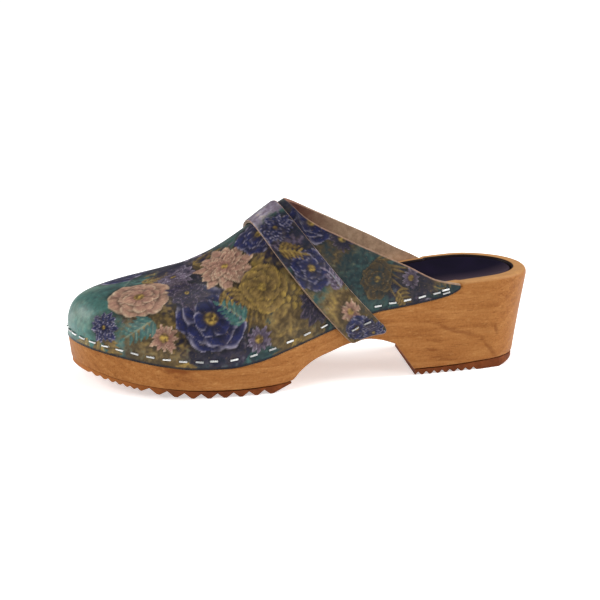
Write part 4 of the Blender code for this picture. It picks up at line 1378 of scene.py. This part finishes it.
def bright_steel():
    tree = Tree("bright steel")
    scratch = tree.noise(900.0, 3.0)
    scratched = tree.ramp(scratch, (0.3, (0.8, 0.8, 0.79)), (0.7, (1.0, 1.0, 0.99)))
    colour = tree.mix(1.0, tree.painted(), scratched, "MULTIPLY")
    rough = tree.curve(scratch, 0.3, 0.7, 0.22, 0.38)
    return tree.surface(Base_Color=colour, Roughness=rough, Metallic=1.0)


def floor_paper():
    tree = Tree("floor paper")
    colour = tree.ramp(tree.noise(700.0, 3.0), (0.3, grey(0.9)), (0.7, grey(0.93)))
    return tree.surface(Base_Color=colour, Roughness=0.9, Emission_Color=(1, 1, 1, 1), Emission_Strength=0.5)


# The stage

AZIMUTH, ELEVATION, ROLL = math.radians(161), math.radians(14.2), math.radians(0.63)
CAMERA_DISTANCE = 1600.0
PIXELS_PER_MM = 1.813
FRAME_PIXELS = 600
AIM = (134.0, 0.0, 41.0)
AIM_PIXEL = (296.8, 296.7)
SENSOR = 36.0
FLOOR_HALF = 6.0
WORLD_STRENGTH = 0.25
LAMPS = table(
    "name right up back size power",
    ("key", -0.8, 0.9, 1.2, 0.8, 9.4),
    ("fill", 1.1, 0.8, 1.0, 1.0, 5.5),
    ("top", 0.3, 1.5, -0.3, 1.1, 10.0),
    ("left rear", -1.3, 0.5, -0.4, 0.7, 11.0),
    ("right rear", 1.4, 0.7, -0.3, 0.7, 16.0),
)


def add_object(name, data):
    obj = bpy.data.objects.new(name, data)
    bpy.context.scene.collection.objects.link(obj)
    return obj


def camera_axes():
    """The camera's right, the way back from the shoe along the floor, and the way back to the camera."""
    right = Vector((math.cos(AZIMUTH), math.sin(AZIMUTH), 0))
    flat_back = Vector((math.sin(AZIMUTH), -math.cos(AZIMUTH), 0))
    back = flat_back * math.cos(ELEVATION) + Vector((0, 0, math.sin(ELEVATION)))
    return right, flat_back, back


def camera():
    right, _, back = camera_axes()
    data = bpy.data.cameras.new("camera")
    data.sensor_width = SENSOR
    data.lens = SENSOR * PIXELS_PER_MM * CAMERA_DISTANCE / FRAME_PIXELS
    data.shift_x = (FRAME_PIXELS / 2 - AIM_PIXEL[0]) / FRAME_PIXELS
    data.shift_y = (AIM_PIXEL[1] - FRAME_PIXELS / 2) / FRAME_PIXELS
    obj = add_object("camera", data)
    turned = Matrix((right, back.cross(right), back)).transposed().to_4x4() @ Matrix.Rotation(ROLL, 4, "Z")
    turned.translation = Vector(place(AIM)) + back * CAMERA_DISTANCE * MM
    obj.matrix_world = turned
    bpy.context.scene.camera = obj


def lights():
    """Soft boxes round the shoe, placed from the camera's side of it."""
    right, flat_back, _ = camera_axes()
    aim = Vector(place(AIM))
    for lamp in LAMPS:
        data = bpy.data.lights.new(lamp.name, "AREA")
        data.shape = "DISK"
        data.size = lamp.size
        data.energy = lamp.power
        obj = add_object(lamp.name, data)
        obj.location = aim + right * lamp.right + Vector((0, 0, lamp.up)) + flat_back * lamp.back
        obj.rotation_euler = (aim - obj.location).to_track_quat("-Z", "Y").to_euler()


def stage(material):
    mesh = bpy.data.meshes.new("floor")
    corners = [(x * FLOOR_HALF, y * FLOOR_HALF, 0) for x, y in ((-1, -1), (1, -1), (1, 1), (-1, 1))]
    mesh.from_pydata(corners, [], [(0, 1, 2, 3)])
    mesh.materials.append(material)
    obj = add_object("floor", mesh)
    world = bpy.data.worlds.new("studio")
    world.use_nodes = True
    sky = world.node_tree.nodes["Background"]
    sky.inputs["Color"].default_value = (1, 1, 1, 1)
    sky.inputs["Strength"].default_value = WORLD_STRENGTH
    bpy.context.scene.world = world
    bpy.context.scene.view_settings.view_transform = "Standard"


def main():
    camera()
    lights()
    stage(floor_paper())
    leather, rubber = printed_leather(), brown_rubber()
    # the last argument is how much painted shade each cut edge gets towards the collar's peak
    collar_edge = raw_leather("collar edge", (124, 102, 80), (180, 158, 130), 0.7)
    strap_edges = raw_leather("strap edge", (100, 84, 68), (150, 132, 110), 0.15)
    wood_sole(carved_wood())
    insole(insole_leather())
    edge_bars, strap_bars = bar_places(), strap_bar_places()
    upper(leather, lining_leather(), collar_edge, edge_bars)
    strap(leather, strap_edges, strap_bars)
    staples(edge_bars, strap_bars, bright_steel())
    for name in ("forefoot_tread", "heel_tread"):
        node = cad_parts[name]
        node.data.materials.clear()
        node.data.materials.append(rubber)


main()
